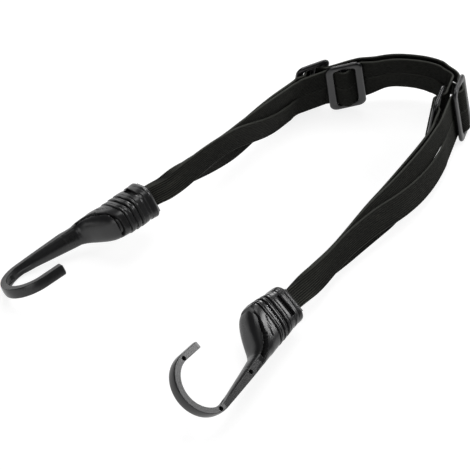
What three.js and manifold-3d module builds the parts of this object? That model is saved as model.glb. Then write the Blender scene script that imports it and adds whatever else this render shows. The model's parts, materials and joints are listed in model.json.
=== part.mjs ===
// Bungee strap: four runs of flat elastic webbing between two moulded hooks, in pairs, with four sliders.
// Millimetres, +Z up. The strap lies on its side as a bent U, with sliders and hooks on the floor z = 0.

import * as THREE from 'three';
import { mergeVertices } from 'three/addons/utils/BufferGeometryUtils.js';
import Module from 'manifold-3d';

const wasm = await Module();
wasm.setup();

// General fits
const clearance = 0.3;
const overrun = 2;

// Elastic webbing
const bandWidth = 14.7;
const bandThickness = 1.3;
const gatheredWidth = 12.6;
const gatherLength = 16;
const bandInsideHook = 18;

// Tri-glide slider
const sliderThickness = 2.5;
const endBar = 4.1;
const centreBar = 3.6;
const sideRail = 2.7;
const sliderWindow = 4.4;
const sliderCorner = 3.4;
const windowCorner = 0.6;
const sliderRounding = 1.15;
const sliderHeight = 2 * bandWidth + 4 * clearance + 2 * sideRail;
const sliderLength = 2 * endBar + centreBar + 2 * sliderWindow;
const barPitch = sliderWindow + (endBar + centreBar) / 2;
const weaveClearance = 0.75;
const weaveHeight = sliderThickness / 2 + bandThickness / 2 + weaveClearance;

// Spacing of the four runs
const layerPitch = bandThickness + clearance;
const crownSpacing = 3.4;
const bendSpacing = 7.6;
const sliderStagger = 12.5;
const fanInLeftArm = 6.4;
const fanInRightArm = 3.4;
const stackedAtHookA = 19.3;
const stackedAtHookB = 10.7;
const fanPeakInLeftArm = 63.7;
const settleLength = 14;
const slopeStep = 0.05;

// Strap route on the floor plan: lengths in millimetres, turns in degrees, left turns positive
const startPoint = new THREE.Vector2(-47.2, 4.7);
const startHeading = 36.9;
const strapRoute = {
  leavingHookA: { length: 13.4, turn: 11.1 },
  leftArm: { length: 107.6, turn: 0.8 },
  turningIn: { length: 4.5, turn: -20.6 },
  sliderOuterLeft: { length: 17, turn: 0 },
  betweenLeftSliders: { length: 1.6, turn: -19 },
  sliderInnerLeft: { length: 18.5, turn: 0 },
  crown: { length: 45.2, turn: -15.5 },
  bend: { length: 20, turn: -101.8 },
  slidersRight: { length: 32, turn: 0 },
  shoulder: { length: 69.9, turn: -23.2 },
  rightArm: { length: 88.9, turn: 6.4 },
};

// Heights of the webbing's middle line above the floor, and its slopes at the two hooks in degrees
const heightAtHookA = 25.1;
const heightInLeftArm = 24.3;
const heightInCrown = 24.8;
const heightInRightArm = 15.6;
const heightBeforeHookB = 11.4;
const heightAtHookB = 13;
const slopeAtHookA = 9.9;
const slopeAtHookB = 7;
const slopeAtInnerLeft = 8.4;

// Lean of the webbing's width away from upright, in degrees, positive with the top edge outwards
const leanAtHookA = 29.3;
const leanInLeftArm = 2.4;
const leanAtLeftSliders = -6.5;
const outerTilt = -6;
const leanInCrown = -16.7;
const leanAtRightSliders = -10.4;
const innerSplay = 16.4;
const leanInShoulder = -26;
const leanInRightArm = -19.3;
const leanAtHookB = -55;

// Moulded hook: along its axis from the collar's end face, across it towards the tip, and across that
const hookGuardLength = 44;
const collarHalfHeight = 12;
const collarHalfWidth = 9.6;
const boreSize = 15.6;
const boreDepth = 19;
const ringPitch = 4;
const firstRing = 7.6;
const ringCount = 4;
const ringDepth = 1.3;
const ringHalfWidth = 0.9;
const slotPlace = 4;
const slotWidth = 2.6;
const slotLength = 14.3;
const throatRadius = 15;
const throatCentre = 79;
const tipHalfWidth = 3;
const shankEndThickness = 3.8;
const tipThickness = 3.2;
const tipArmLength = 12.5;
const dotRadius = 1;
const dotDepth = 1.5;
const grooveDepth = 5;
const panelDepth = 0.9;
const bendHoleTurn = 12;

// Corners of the hook's section, from 2, an ellipse, upwards to a square
const collarSquareness = 3.6;
const guardSquareness = 2.8;
const bendSquareness = 3;

// Hook guard outline as shares of its length, half height and half width
const guardOutlineShares = [
  [0.0, 0.9, -0.88, 0.95],
  [0.025, 0.95, -0.92, 1.0],
  [0.14, 0.97, -0.94, 1.0],
  [0.43, 1.12, -1.06, 0.96],
  [0.53, 1.13, -1.1, 0.93],
  [0.6, 1.04, -1.13, 0.93],
  [0.67, 0.86, -1.15, 0.93],
  [0.74, 0.57, -1.18, 0.9],
  [0.8, 0.25, -1.19, 0.84],
  [0.85, -0.08, -1.21, 0.79],
  [0.89, -0.35, -1.22, 0.74],
  [0.935, -0.55, -1.24, 0.68],
  [1.0, -0.66, -1.26, 0.59],
];

// Rounded end of the tip, as shares of its arm and its thickness
const tipEndShares = [[0.5, 1], [0.9, 1], [0.98, 0.85], [1, 0.55]];

// Groove behind the finger guard and the sunk panel beside it, as shares of the same sizes
const guardGrooveShares = [
  [0.475, 0.72], [0.53, 0.5], [0.63, -0.1], [0.715, -0.48], [0.82, -0.8],
  [0.765, -0.98], [0.68, -0.64], [0.6, -0.25],
];
const sidePanelShares = [[0.43, 0.4], [0.395, -0.62], [0.545, -0.44]];

// Anchor plug and crimp inside the collar
const plugSize = boreSize - 2 * clearance;
const plugLength = 10;
const barbHeight = 0.9;
const stackThickness = 4 * bandThickness + 3 * clearance;
const crimpWall = 0.7;
const crimpLength = 6.5;

const webbing = new THREE.MeshStandardMaterial({ color: 0x1b1b1a, roughness: 0.9, metalness: 0 });
const hookPlastic = new THREE.MeshStandardMaterial({ color: 0x242425, roughness: 0.42, metalness: 0 });
const sliderPlastic = new THREE.MeshStandardMaterial({ color: 0x2b2b2d, roughness: 0.55, metalness: 0 });
const plugPlastic = new THREE.MeshStandardMaterial({ color: 0x202021, roughness: 0.6, metalness: 0 });
const steel = new THREE.MeshStandardMaterial({ color: 0x8f9194, roughness: 0.35, metalness: 1 });

const degrees = Math.PI / 180;

function smooth(t) {
  const x = Math.min(1, Math.max(0, t));
  return x * x * (3 - 2 * x);
}

// A value along the strap through keys of place, value and, where it isn't level there, slope
function keyed(keys, s) {
  if (s <= keys[0][0]) return keys[0][1] + (s - keys[0][0]) * (keys[0][2] ?? 0);
  for (let i = 1; i < keys.length; i += 1) {
    const [s0, v0, m0 = 0] = keys[i - 1];
    const [s1, v1, m1 = 0] = keys[i];
    if (s <= s1) {
      const d = s1 - s0;
      const t = (s - s0) / d;
      return v0 + (v1 - v0) * smooth(t) + d * t * (1 - t) * (m0 * (1 - t) - m1 * t);
    }
  }
  const [last, value, slope = 0] = keys[keys.length - 1];
  return value + (s - last) * slope;
}

// The end of each leg of the route, measured along it
const legs = Object.values(strapRoute);
const reach = {};
let total = 0;
for (const [name, leg] of Object.entries(strapRoute)) {
  reach[name] = { start: total, middle: total + leg.length / 2, end: total + leg.length };
  total += leg.length;
}
const routeLength = total;

// Point and heading on the floor plan, straight on past both ends
function planPoint(s) {
  let x = startPoint.x;
  let y = startPoint.y;
  let heading = startHeading * degrees;
  let left = s;
  for (let i = 0; i < legs.length; i += 1) {
    const { length, turn } = legs[i];
    const last = i === legs.length - 1;
    const part = left < 0 ? 0 : Math.min(left, length);
    const swing = turn * degrees * (part / length);
    if (swing === 0) {
      x += part * Math.cos(heading);
      y += part * Math.sin(heading);
    } else {
      const radius = part / swing;
      x += radius * (Math.sin(heading + swing) - Math.sin(heading));
      y += radius * (Math.cos(heading) - Math.cos(heading + swing));
    }
    heading += swing;
    left -= part;
    if (left <= 0 && !last) break;
    if (last) {
      x += left * Math.cos(heading);
      y += left * Math.sin(heading);
    }
  }
  if (s < 0) {
    x += s * Math.cos(heading);
    y += s * Math.sin(heading);
  }
  return { x, y, heading };
}

// The sliders stand on their lower rails; the inner left one is tipped, with its left corner down
const standHeight = sliderHeight / 2;
const riseSlope = Math.tan(slopeAtInnerLeft * degrees);
const tippedHeight = standHeight * Math.cos(slopeAtInnerLeft * degrees)
  + (sliderLength / 2) * Math.sin(slopeAtInnerLeft * degrees);
const tippedReach = strapRoute.sliderInnerLeft.length / 2;
const heightKeys = [
  [0, heightAtHookA, Math.tan(slopeAtHookA * degrees)],
  [reach.leavingHookA.end, heightInLeftArm],
  [reach.sliderOuterLeft.start, standHeight],
  [reach.sliderOuterLeft.end, standHeight],
  [reach.sliderInnerLeft.start, tippedHeight - tippedReach * riseSlope, riseSlope],
  [reach.sliderInnerLeft.end, tippedHeight + tippedReach * riseSlope, riseSlope],
  [reach.crown.middle, heightInCrown],
  [reach.slidersRight.start, standHeight],
  [reach.slidersRight.end, standHeight],
  [reach.shoulder.end, heightInRightArm],
  [reach.rightArm.end - 2 * settleLength, heightBeforeHookB],
  [reach.rightArm.end, heightAtHookB, Math.tan(slopeAtHookB * degrees)],
];
const leanKeys = [
  [0, leanAtHookA],
  [reach.leftArm.middle, leanInLeftArm],
  [reach.sliderOuterLeft.start, leanAtLeftSliders],
  [reach.sliderInnerLeft.end, leanAtLeftSliders],
  [reach.sliderInnerLeft.end + settleLength, leanInCrown],
  [reach.bend.middle, leanInCrown],
  [reach.slidersRight.start, leanAtRightSliders],
  [reach.slidersRight.end, leanAtRightSliders],
  [reach.shoulder.end, leanInShoulder],
  [reach.rightArm.middle, leanInRightArm],
  [reach.rightArm.end, leanAtHookB],
];
// The outer pair's further lean at its left slider, and the inner pair's beside the right sliders
const outerTiltKeys = [
  [reach.leftArm.end - settleLength / 3, 0],
  [reach.sliderOuterLeft.start, outerTilt],
  [reach.sliderOuterLeft.end, outerTilt],
  [reach.sliderInnerLeft.end, 0],
];
const innerSplayKeys = [
  [reach.bend.start, 0],
  [reach.slidersRight.start - clearance, innerSplay],
  [reach.slidersRight.end, innerSplay],
  [reach.shoulder.end, 0],
];

function centreHeight(s) {
  return keyed(heightKeys, s);
}

// Moving frame: along the strap, across the webbing's width, and out of its face towards the inside of the U
function frameAt(s, pair = 0) {
  const { x, y, heading } = planPoint(s);
  const slope = Math.atan((centreHeight(s + slopeStep) - centreHeight(s - slopeStep)) / (2 * slopeStep));
  const pairLean = { 1: innerSplayKeys, [-1]: outerTiltKeys }[pair];
  const lean = (keyed(leanKeys, s) + (pairLean ? keyed(pairLean, s) : 0)) * degrees;
  const along = new THREE.Vector3(
    Math.cos(heading) * Math.cos(slope), Math.sin(heading) * Math.cos(slope), Math.sin(slope));
  const outward = new THREE.Vector3(-Math.sin(heading), Math.cos(heading), 0);
  const up = new THREE.Vector3().crossVectors(along, outward);
  const across = up.clone().multiplyScalar(Math.cos(lean)).addScaledVector(outward, Math.sin(lean));
  const inward = new THREE.Vector3().crossVectors(along, across);
  return { point: new THREE.Vector3(x, y, centreHeight(s)), along, across, inward };
}

function placement(s, xAxis, yAxis, zAxis, point = frameAt(s).point) {
  return new THREE.Matrix4().makeBasis(xAxis, yAxis, zAxis).setPosition(point);
}

function namedMesh(name, geometry, material, matrix) {
  const mesh = new THREE.Mesh(geometry, material);
  mesh.name = name;
  if (matrix) matrix.decompose(mesh.position, mesh.quaternion, mesh.scale);
  return mesh;
}

// Rings of points joined into a closed tube with flat ends
function loft(rings) {
  const sides = rings[0].length;
  const vertices = rings.flat().flatMap((p) => [p.x, p.y, p.z]);
  const faces = [];
  for (let i = 0; i + 1 < rings.length; i += 1) {
    for (let j = 0; j < sides; j += 1) {
      const a = i * sides + j;
      const b = i * sides + ((j + 1) % sides);
      faces.push(a, b, b + sides, a, b + sides, a + sides);
    }
  }
  const last = (rings.length - 1) * sides;
  for (let j = 1; j + 1 < sides; j += 1) {
    faces.push(0, j + 1, j);
    faces.push(last, last + j, last + j + 1);
  }
  const geometry = new THREE.BufferGeometry();
  geometry.setAttribute('position', new THREE.Float32BufferAttribute(vertices, 3));
  geometry.setIndex(faces);
  return geometry;
}

function toSolid(geometry) {
  const bare = geometry.clone();
  bare.deleteAttribute('normal');
  bare.deleteAttribute('uv');
  const merged = mergeVertices(bare);
  const mesh = new wasm.Mesh({
    numProp: 3,
    vertProperties: new Float32Array(merged.attributes.position.array),
    triVerts: new Uint32Array(merged.index.array),
  });
  return new wasm.Manifold(mesh);
}

function fromSolid(solid) {
  const { vertProperties, triVerts } = solid.getMesh();
  const geometry = new THREE.BufferGeometry();
  geometry.setAttribute('position', new THREE.BufferAttribute(vertProperties, 3));
  geometry.setIndex(new THREE.BufferAttribute(triVerts, 1));
  return geometry;
}

function block(sizeX, sizeY, sizeZ, x, y, z) {
  return toSolid(new THREE.BoxGeometry(sizeX, sizeY, sizeZ).translate(x, y, z));
}

// Four runs of webbing: which pair, which half of it, and its shares of the fan in the left and right arm
const bands = [
  { name: 'band_inner_upper', pair: 1, half: 1, order: 0.5, fanShares: [0, -0.5] },
  { name: 'band_inner_lower', pair: 1, half: -1, order: 1.5, fanShares: [1, -1] },
  { name: 'band_outer_upper', pair: -1, half: 1, order: -0.5, fanShares: [-0.5, 0] },
  { name: 'band_outer_lower', pair: -1, half: -1, order: -1.5, fanShares: [-1, 1] },
];
const sliders = [
  { name: 'slider_outer_left', pair: -1, place: reach.sliderOuterLeft.middle },
  { name: 'slider_inner_left', pair: 1, place: reach.sliderInnerLeft.middle },
  { name: 'slider_inner_right', pair: 1, place: reach.slidersRight.middle + sliderStagger / 2 },
  { name: 'slider_outer_right', pair: -1, place: reach.slidersRight.middle - sliderStagger / 2 },
];

// Half the distance between the inner and the outer pair
const spacingKeys = [
  [0, layerPitch],
  [reach.leftArm.end - settleLength, crownSpacing / 2],
  [reach.bend.start, crownSpacing / 2],
  [reach.slidersRight.start - clearance, bendSpacing / 2],
  [reach.slidersRight.end + clearance, bendSpacing / 2],
  [reach.rightArm.middle, layerPitch],
];
// How far the two halves of a pair have spread side by side, and how far they still overlap as layers
const spreadKeys = [
  [stackedAtHookA, 0],
  [reach.leftArm.end - settleLength / 3, 1],
  [reach.slidersRight.end + settleLength, 1],
  [reach.rightArm.end - stackedAtHookB, 0],
];
const layerKeys = [
  [reach.leftArm.end - settleLength / 3, 1],
  [reach.turningIn.end - settleLength / 5, 0],
  [reach.slidersRight.end + settleLength / 5, 0],
  [reach.slidersRight.end + settleLength, 1],
];
// How far the layers behind the front one have slipped down or up across the width in each arm
const leftFanKeys = [
  [gatherLength, 0],
  [fanPeakInLeftArm, 1],
  [reach.leftArm.end - settleLength, 0],
];
const rightFanKeys = [
  [reach.slidersRight.end + settleLength, 0],
  [reach.rightArm.middle - settleLength, 1],
  [reach.rightArm.end - gatherLength, 0],
];
const widthKeys = [
  [0, gatheredWidth],
  [gatherLength, bandWidth],
  [routeLength - gatherLength, bandWidth],
  [routeLength, gatheredWidth],
];

// The webbing lies under both end bars of a slider and loops over the centre bar between them
function weave(distance) {
  const x = Math.min(1, Math.abs(distance) / barPitch);
  return weaveHeight * (1 + Math.cos(Math.PI * x));
}

function bandPoint(band, s) {
  const frame = frameAt(s, band.pair);
  const spread = keyed(spreadKeys, s);
  const [leftShare, rightShare] = band.fanShares;
  const fan = fanInLeftArm * leftShare * keyed(leftFanKeys, s)
    + fanInRightArm * rightShare * keyed(rightFanKeys, s);
  const sideways = (spread * band.half * (bandWidth + clearance)) / 2 + fan;
  const layers = keyed(layerKeys, s);
  const stacked = (band.order - band.pair) * layerPitch * layers;
  let inward = band.pair * keyed(spacingKeys, s) + stacked;
  for (const slider of sliders) {
    if (slider.pair === band.pair) inward += band.pair * weave(s - slider.place);
  }
  return frame.point.addScaledVector(frame.across, sideways).addScaledVector(frame.inward, inward);
}

// Closer steps where the webbing weaves through a slider
function bandSteps(band) {
  const longStep = barPitch / 2;
  const shortStep = barPitch / 8;
  const steps = [];
  let s = -bandInsideHook;
  while (s < routeLength + bandInsideHook) {
    steps.push(s);
    const near = sliders.some((slider) => slider.pair === band.pair
      && s - slider.place > -barPitch - longStep && s - slider.place < barPitch);
    s += near ? shortStep : longStep;
  }
  steps.push(routeLength + bandInsideHook);
  return steps;
}

function makeBand(band) {
  const rings = bandSteps(band).map((s) => {
    const point = bandPoint(band, s);
    const along = bandPoint(band, s + slopeStep).sub(bandPoint(band, s - slopeStep)).normalize();
    const { across } = frameAt(s, band.pair);
    const face = new THREE.Vector3().crossVectors(along, across).normalize();
    const halfWidth = keyed(widthKeys, s) / 2;
    const halfThickness = bandThickness / 2;
    return [[1, 1], [-1, 1], [-1, -1], [1, -1]].map(([w, n]) => point.clone()
      .addScaledVector(across, w * halfWidth).addScaledVector(face, n * halfThickness));
  });
  return namedMesh(band.name, loft(rings), webbing);
}

function roundedRectangle(path, halfX, halfY, radius, centreX) {
  path.moveTo(centreX + halfX, -halfY + radius);
  path.lineTo(centreX + halfX, halfY - radius);
  path.absarc(centreX + halfX - radius, halfY - radius, radius, 0, Math.PI / 2, false);
  path.absarc(centreX - halfX + radius, halfY - radius, radius, Math.PI / 2, Math.PI, false);
  path.absarc(centreX - halfX + radius, -halfY + radius, radius, Math.PI, 1.5 * Math.PI, false);
  path.absarc(centreX + halfX - radius, -halfY + radius, radius, 1.5 * Math.PI, 2 * Math.PI, false);
  return path;
}

// Frame with two windows: end bar, window, centre bar, window, end bar, all with rounded edges
function makeSlider(slider) {
  const outline = roundedRectangle(new THREE.Shape(), sliderLength / 2, sliderHeight / 2, sliderCorner, 0);
  const windowCentre = (centreBar + sliderWindow) / 2;
  const windowHalfHeight = sliderHeight / 2 - sideRail;
  for (const side of [-1, 1]) {
    const hole = roundedRectangle(new THREE.Path(), sliderWindow / 2, windowHalfHeight, windowCorner,
      side * windowCentre);
    outline.holes.push(hole);
  }
  const depth = sliderThickness - 2 * sliderRounding;
  const geometry = new THREE.ExtrudeGeometry(outline, {
    depth,
    curveSegments: 3,
    bevelEnabled: true,
    bevelThickness: sliderRounding,
    bevelSize: sliderRounding,
    bevelOffset: -sliderRounding,
    bevelSegments: 2,
  }).translate(0, 0, -depth / 2);
  const frame = frameAt(slider.place, slider.pair);
  const offset = keyed(spacingKeys, slider.place) + weaveHeight;
  const point = frame.point.clone().addScaledVector(frame.inward, slider.pair * offset);
  const matrix = placement(slider.place, frame.along, frame.across, frame.inward, point);
  return namedMesh(slider.name, geometry, sliderPlastic, matrix);
}

// Rounded-rectangle ring in the hook's own axes, square to the given direction
function hookRing(centreA, centreH, turn, halfHeight, halfWidth, squareness, sides = 22) {
  const ring = [];
  for (let k = 0; k < sides; k += 1) {
    const angle = (-2 * Math.PI * (k + 0.5)) / sides;
    const power = 2 / squareness;
    const h = halfHeight * Math.sign(Math.sin(angle)) * Math.abs(Math.sin(angle)) ** power;
    const n = halfWidth * Math.sign(Math.cos(angle)) * Math.abs(Math.cos(angle)) ** power;
    ring.push(new THREE.Vector3(centreA - h * Math.sin(turn), centreH + h * Math.cos(turn), n));
  }
  return ring;
}

function guardProfile(a) {
  const share = a / hookGuardLength;
  const rows = guardOutlineShares;
  let i = 1;
  while (i < rows.length - 1 && rows[i][0] < share) i += 1;
  const [s0, ...before] = rows[i - 1];
  const [s1, ...after] = rows[i];
  const t = (share - s0) / (s1 - s0);
  const [top, bottom, side] = before.map((value, k) => value + (after[k] - value) * t);
  return { top: top * collarHalfHeight, bottom: bottom * collarHalfHeight, side: side * collarHalfWidth };
}

// Depth of the moulded rings round the collar
function ringCut(a) {
  let cut = 0;
  for (let i = 0; i < ringCount; i += 1) {
    const off = Math.abs(a - firstRing - i * ringPitch) / ringHalfWidth;
    if (off < 1) cut = ringDepth * (1 - off);
  }
  return cut;
}

function guardStations() {
  const stations = guardOutlineShares.map((row) => row[0] * hookGuardLength);
  for (let i = 0; i < ringCount; i += 1) {
    const place = firstRing + i * ringPitch;
    stations.push(place - ringHalfWidth, place, place + ringHalfWidth);
  }
  stations.sort((a, b) => a - b);
  return stations.filter((a, i) => i === 0 || a - stations[i - 1] > clearance);
}

// Collar and finger guard, then the shank, the hook's bend and its tip, in one moulding
function hookLoft() {
  const rings = [];
  for (const a of guardStations()) {
    const { top, bottom, side } = guardProfile(a);
    const cut = ringCut(a);
    const half = (top - bottom) / 2 - cut;
    const squareness = collarSquareness + (guardSquareness - collarSquareness) * smooth(a / hookGuardLength);
    rings.push(hookRing(a, (top + bottom) / 2, 0, half, side - cut, squareness));
  }
  const guardEnd = guardProfile(hookGuardLength);
  const startH = (guardEnd.top + guardEnd.bottom) / 2;
  const startHalf = (guardEnd.top - guardEnd.bottom) / 2;
  const bendRadius = throatRadius + shankEndThickness / 2;
  const shankSteps = 6;
  for (let i = 1; i <= shankSteps; i += 1) {
    const t = i / shankSteps;
    const a = hookGuardLength + (throatCentre - hookGuardLength) * t;
    const h = startH + (-bendRadius - startH) * t;
    const half = startHalf + (shankEndThickness / 2 - startHalf) * t;
    const turn = Math.atan2(-bendRadius - startH, throatCentre - hookGuardLength) * (1 - t);
    const side = guardEnd.side + (tipHalfWidth - guardEnd.side) * t;
    rings.push(hookRing(a, h, turn, half, side, guardSquareness));
  }
  const bendSteps = 14;
  for (let i = 1; i <= bendSteps; i += 1) {
    const t = i / bendSteps;
    const turn = Math.PI * t;
    const thickness = shankEndThickness + (tipThickness - shankEndThickness) * t;
    const radius = throatRadius + thickness / 2;
    rings.push(hookRing(throatCentre + radius * Math.sin(turn), -radius * Math.cos(turn), turn,
      thickness / 2, tipHalfWidth, bendSquareness));
  }
  const tipH = throatRadius + tipThickness / 2;
  for (const [share, size] of tipEndShares) {
    rings.push(hookRing(throatCentre - tipArmLength * share, tipH, Math.PI,
      (tipThickness / 2) * size, tipHalfWidth * size, bendSquareness));
  }
  return loft(rings);
}

// Prism of an outline given as shares of the guard, from a depth under the side face outwards, on both sides
function sidePockets(shares, innerSide) {
  const points = shares.map(([a, h]) => new THREE.Vector2(a * hookGuardLength, h * collarHalfHeight));
  const outline = new THREE.Shape(points);
  const depth = collarHalfWidth + overrun - innerSide;
  const outer = new THREE.ExtrudeGeometry(outline, { depth, bevelEnabled: false });
  const far = toSolid(outer.clone().translate(0, 0, innerSide));
  const near = toSolid(outer.clone().translate(0, 0, -innerSide - depth));
  return far.add(near);
}

// Blind holes left by the moulding's cores, in pairs on the two side faces
function coreHoles() {
  const shankPlace = hookGuardLength + 2 * dotRadius + dotDepth;
  const guardEnd = guardProfile(hookGuardLength);
  const bendTurn = bendHoleTurn * degrees;
  const bendRadius = throatRadius + shankEndThickness / 2;
  const places = [
    [shankPlace, (guardEnd.top + guardEnd.bottom) / 2, guardEnd.side],
    [throatCentre + bendRadius * Math.sin(bendTurn), -bendRadius * Math.cos(bendTurn), tipHalfWidth],
    [throatCentre - 2 * dotRadius, throatRadius + tipThickness / 2, tipHalfWidth],
  ];
  const holes = places.flatMap(([a, h, side]) => [-1, 1].map((face) => {
    const length = 2 * dotDepth;
    const hole = new THREE.CylinderGeometry(dotRadius, dotRadius, length, 12).rotateX(Math.PI / 2);
    return toSolid(hole.translate(a, h, face * side));
  }));
  return holes.reduce((all, hole) => all.add(hole));
}

function makeHook(name) {
  const bore = block(boreDepth + overrun, boreSize, boreSize, (boreDepth - overrun) / 2, 0, 0);
  const slot = block(slotWidth, slotLength, 2 * (collarHalfWidth + overrun), slotPlace, 0, 0);
  const guardGroove = sidePockets(guardGrooveShares, collarHalfWidth - grooveDepth);
  const panel = sidePockets(sidePanelShares, collarHalfWidth - panelDepth);
  const solid = toSolid(hookLoft()).subtract(bore).subtract(slot).subtract(guardGroove)
    .subtract(panel).subtract(coreHoles());
  return namedMesh(name, fromSolid(solid), hookPlastic);
}

// The webbing's four ends pass through the plug, whose two barbs latch in the collar's slots
function makeAnchor(name, widthAlongN) {
  const slitWidth = gatheredWidth + 2 * clearance;
  const slitHeight = stackThickness + 2 * clearance;
  const [slitH, slitN] = widthAlongN ? [slitHeight, slitWidth] : [slitWidth, slitHeight];
  const middle = clearance + plugLength / 2;
  const body = block(plugLength, plugSize, plugSize, middle, 0, 0);
  const barbN = plugSize / 2 + barbHeight / 2;
  const barbs = [-1, 1].map((side) => block(slotWidth - 2 * clearance, slotLength - 2 * clearance,
    barbHeight + clearance, slotPlace, 0, side * (barbN - clearance / 2)));
  const slit = block(plugLength + overrun, slitH, slitN, middle, 0, 0);
  return namedMesh(name, fromSolid(body.add(barbs[0]).add(barbs[1]).subtract(slit)), plugPlastic);
}

function makeCrimp(name, widthAlongN) {
  const slitWidth = gatheredWidth + 2 * clearance;
  const slitHeight = stackThickness + 2 * clearance;
  const [slitH, slitN] = widthAlongN ? [slitHeight, slitWidth] : [slitWidth, slitHeight];
  const middle = 2 * clearance + plugLength + crimpLength / 2;
  const outer = block(crimpLength, slitH + 2 * crimpWall, slitN + 2 * crimpWall, middle, 0, 0);
  const inner = block(crimpLength + overrun, slitH, slitN, middle, 0, 0);
  return namedMesh(name, fromSolid(outer.subtract(inner)), steel);
}

// A hook with its plug and crimp, in its own axes: along, towards the tip, across
function hookGroup(letter, s, xAxis, yAxis, zAxis, widthAlongN) {
  const group = new THREE.Group();
  group.add(makeHook(`hook_${letter}`));
  group.add(makeAnchor(`hook_${letter}_anchor`, widthAlongN));
  group.add(makeCrimp(`hook_${letter}_crimp`, widthAlongN));
  placement(s, xAxis, yAxis, zAxis).decompose(group.position, group.quaternion, group.scale);
  return group;
}

const strap = new THREE.Group();
bands.forEach((band) => strap.add(makeBand(band)));
sliders.forEach((slider) => strap.add(makeSlider(slider)));
const endA = frameAt(0);
const endB = frameAt(routeLength);
strap.add(hookGroup('a', 0, endA.along.clone().negate(), endA.inward, endA.across, true));
strap.add(hookGroup('b', routeLength, endB.along, endB.across, endB.inward, false));

// The origin is on the floor, under the middle of the strap's box
strap.updateMatrixWorld(true);
const box = new THREE.Box3().setFromObject(strap, true);
const middle = box.getCenter(new THREE.Vector3());
strap.position.set(-middle.x, -middle.y, -box.min.z);

const bungeeStrap = new THREE.Group();
bungeeStrap.add(strap);

export default bungeeStrap;
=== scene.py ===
"""Bungee strap: ribbed elastic webbing in two pairs, four sliders and two moulded guard hooks.

The frame's solids give each piece's place. The webbing follows the same route as its solids, with
woven ribs and rounded selvedges. The hooks are lofted finely and cut as their mouldings are.
Lengths are in millimetres up to the moment a mesh is made, and a mesh is in metres.
"""

import json
import logging
import math
from dataclasses import dataclass, field
from enum import Enum

import bmesh
import bpy
import numpy as np
from mathutils import Matrix, Vector


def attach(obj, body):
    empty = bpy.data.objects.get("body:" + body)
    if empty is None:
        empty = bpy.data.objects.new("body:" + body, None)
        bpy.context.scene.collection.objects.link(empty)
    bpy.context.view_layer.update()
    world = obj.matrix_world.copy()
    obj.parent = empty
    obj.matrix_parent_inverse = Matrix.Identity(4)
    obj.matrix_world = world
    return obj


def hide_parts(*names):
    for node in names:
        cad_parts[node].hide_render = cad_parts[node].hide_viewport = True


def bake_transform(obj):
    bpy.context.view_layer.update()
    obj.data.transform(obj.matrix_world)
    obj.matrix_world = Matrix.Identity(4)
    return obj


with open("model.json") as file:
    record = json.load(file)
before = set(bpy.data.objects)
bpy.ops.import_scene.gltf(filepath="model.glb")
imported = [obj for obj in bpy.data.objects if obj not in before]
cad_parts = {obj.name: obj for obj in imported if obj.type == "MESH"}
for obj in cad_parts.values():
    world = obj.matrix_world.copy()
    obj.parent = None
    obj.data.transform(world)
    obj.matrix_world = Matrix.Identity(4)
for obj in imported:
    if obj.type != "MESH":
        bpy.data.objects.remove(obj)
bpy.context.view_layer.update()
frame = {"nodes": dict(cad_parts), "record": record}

MM = 0.001
NEAR_ZERO = 1e-9
NOISE_SPAN = (0.3, 0.7)
log = logging.getLogger("bungee_strap")


def hex_colour(code: str) -> tuple[float, float, float, float]:
    """Gives the linear colour of an sRGB hex code.

    Args:
        code: Six hexadecimal digits.

    Returns:
        Red, green, blue and an alpha of one.
    """
    levels = [int(code[i:i + 2], 16) / 255 for i in (0, 2, 4)]
    linear = [v / 12.92 if v <= 0.04045 else ((v + 0.055) / 1.055) ** 2.4 for v in levels]
    return (*linear, 1.0)


def smooth(t: np.ndarray) -> np.ndarray:
    """Eases from nought to one with level ends: three squares less two cubes."""
    x = np.clip(t, 0, 1)
    return x * x * (3 - 2 * x)


def keyed(keys: list[tuple[float, ...]], s: np.ndarray) -> np.ndarray:
    """Runs a value through keys of place, value and, where it isn't level there, slope.

    Args:
        keys: Places in rising order, each with its value and perhaps its slope.
        s: Places along the strap.

    Returns:
        The value at each place.
    """
    s = np.asarray(s, float)
    rows = [(*key, 0.0)[:3] for key in keys]
    first, last = rows[0], rows[-1]
    value = np.where(s <= first[0], first[1] + (s - first[0]) * first[2], 0.0)
    value = np.where(s > last[0], last[1] + (s - last[0]) * last[2], value)
    for (s0, v0, m0), (s1, v1, m1) in zip(rows, rows[1:]):
        d = s1 - s0
        t = (s - s0) / d
        through = v0 + (v1 - v0) * smooth(t) + d * t * (1 - t) * (m0 * (1 - t) - m1 * t)
        value = np.where((s > s0) & (s <= s1), through, value)
    return value


def unit(vectors: np.ndarray) -> np.ndarray:
    """Scales each vector to length one."""
    return vectors / np.linalg.norm(vectors, axis=-1, keepdims=True)


def through_points(x: np.ndarray, places: np.ndarray, values: np.ndarray) -> np.ndarray:
    """Draws a smooth curve through points, with the slope at each from its neighbours.

    Args:
        x: Where the curve is wanted.
        places: Places of the points, rising.
        values: Values at those places.

    Returns:
        The curve's values.
    """
    slopes = np.gradient(values, places)
    i = np.clip(np.searchsorted(places, x) - 1, 0, len(places) - 2)
    d = places[i + 1] - places[i]
    t = np.clip((x - places[i]) / d, 0, 1)
    return (
        (2 * t**3 - 3 * t**2 + 1) * values[i]
        + (t**3 - 2 * t**2 + t) * d * slopes[i]
        + (3 * t**2 - 2 * t**3) * values[i + 1]
        + (t**3 - t**2) * d * slopes[i + 1]
    )


class Pair(Enum):
    """The two pairs of webbing, by the side of the U that they lie on."""

    INNER = 1
    OUTER = -1


class Half(Enum):
    """The two halves of a pair once they lie side by side."""

    UPPER = 1
    LOWER = -1


class Side(Enum):
    """The two ends of the strap."""

    A = "a"
    B = "b"


@dataclass(frozen=True)
class Leg:
    """A stretch of the route on the floor plan: its length and its turn to the left in degrees."""

    name: str
    length: float
    turn: float = 0.0


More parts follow.
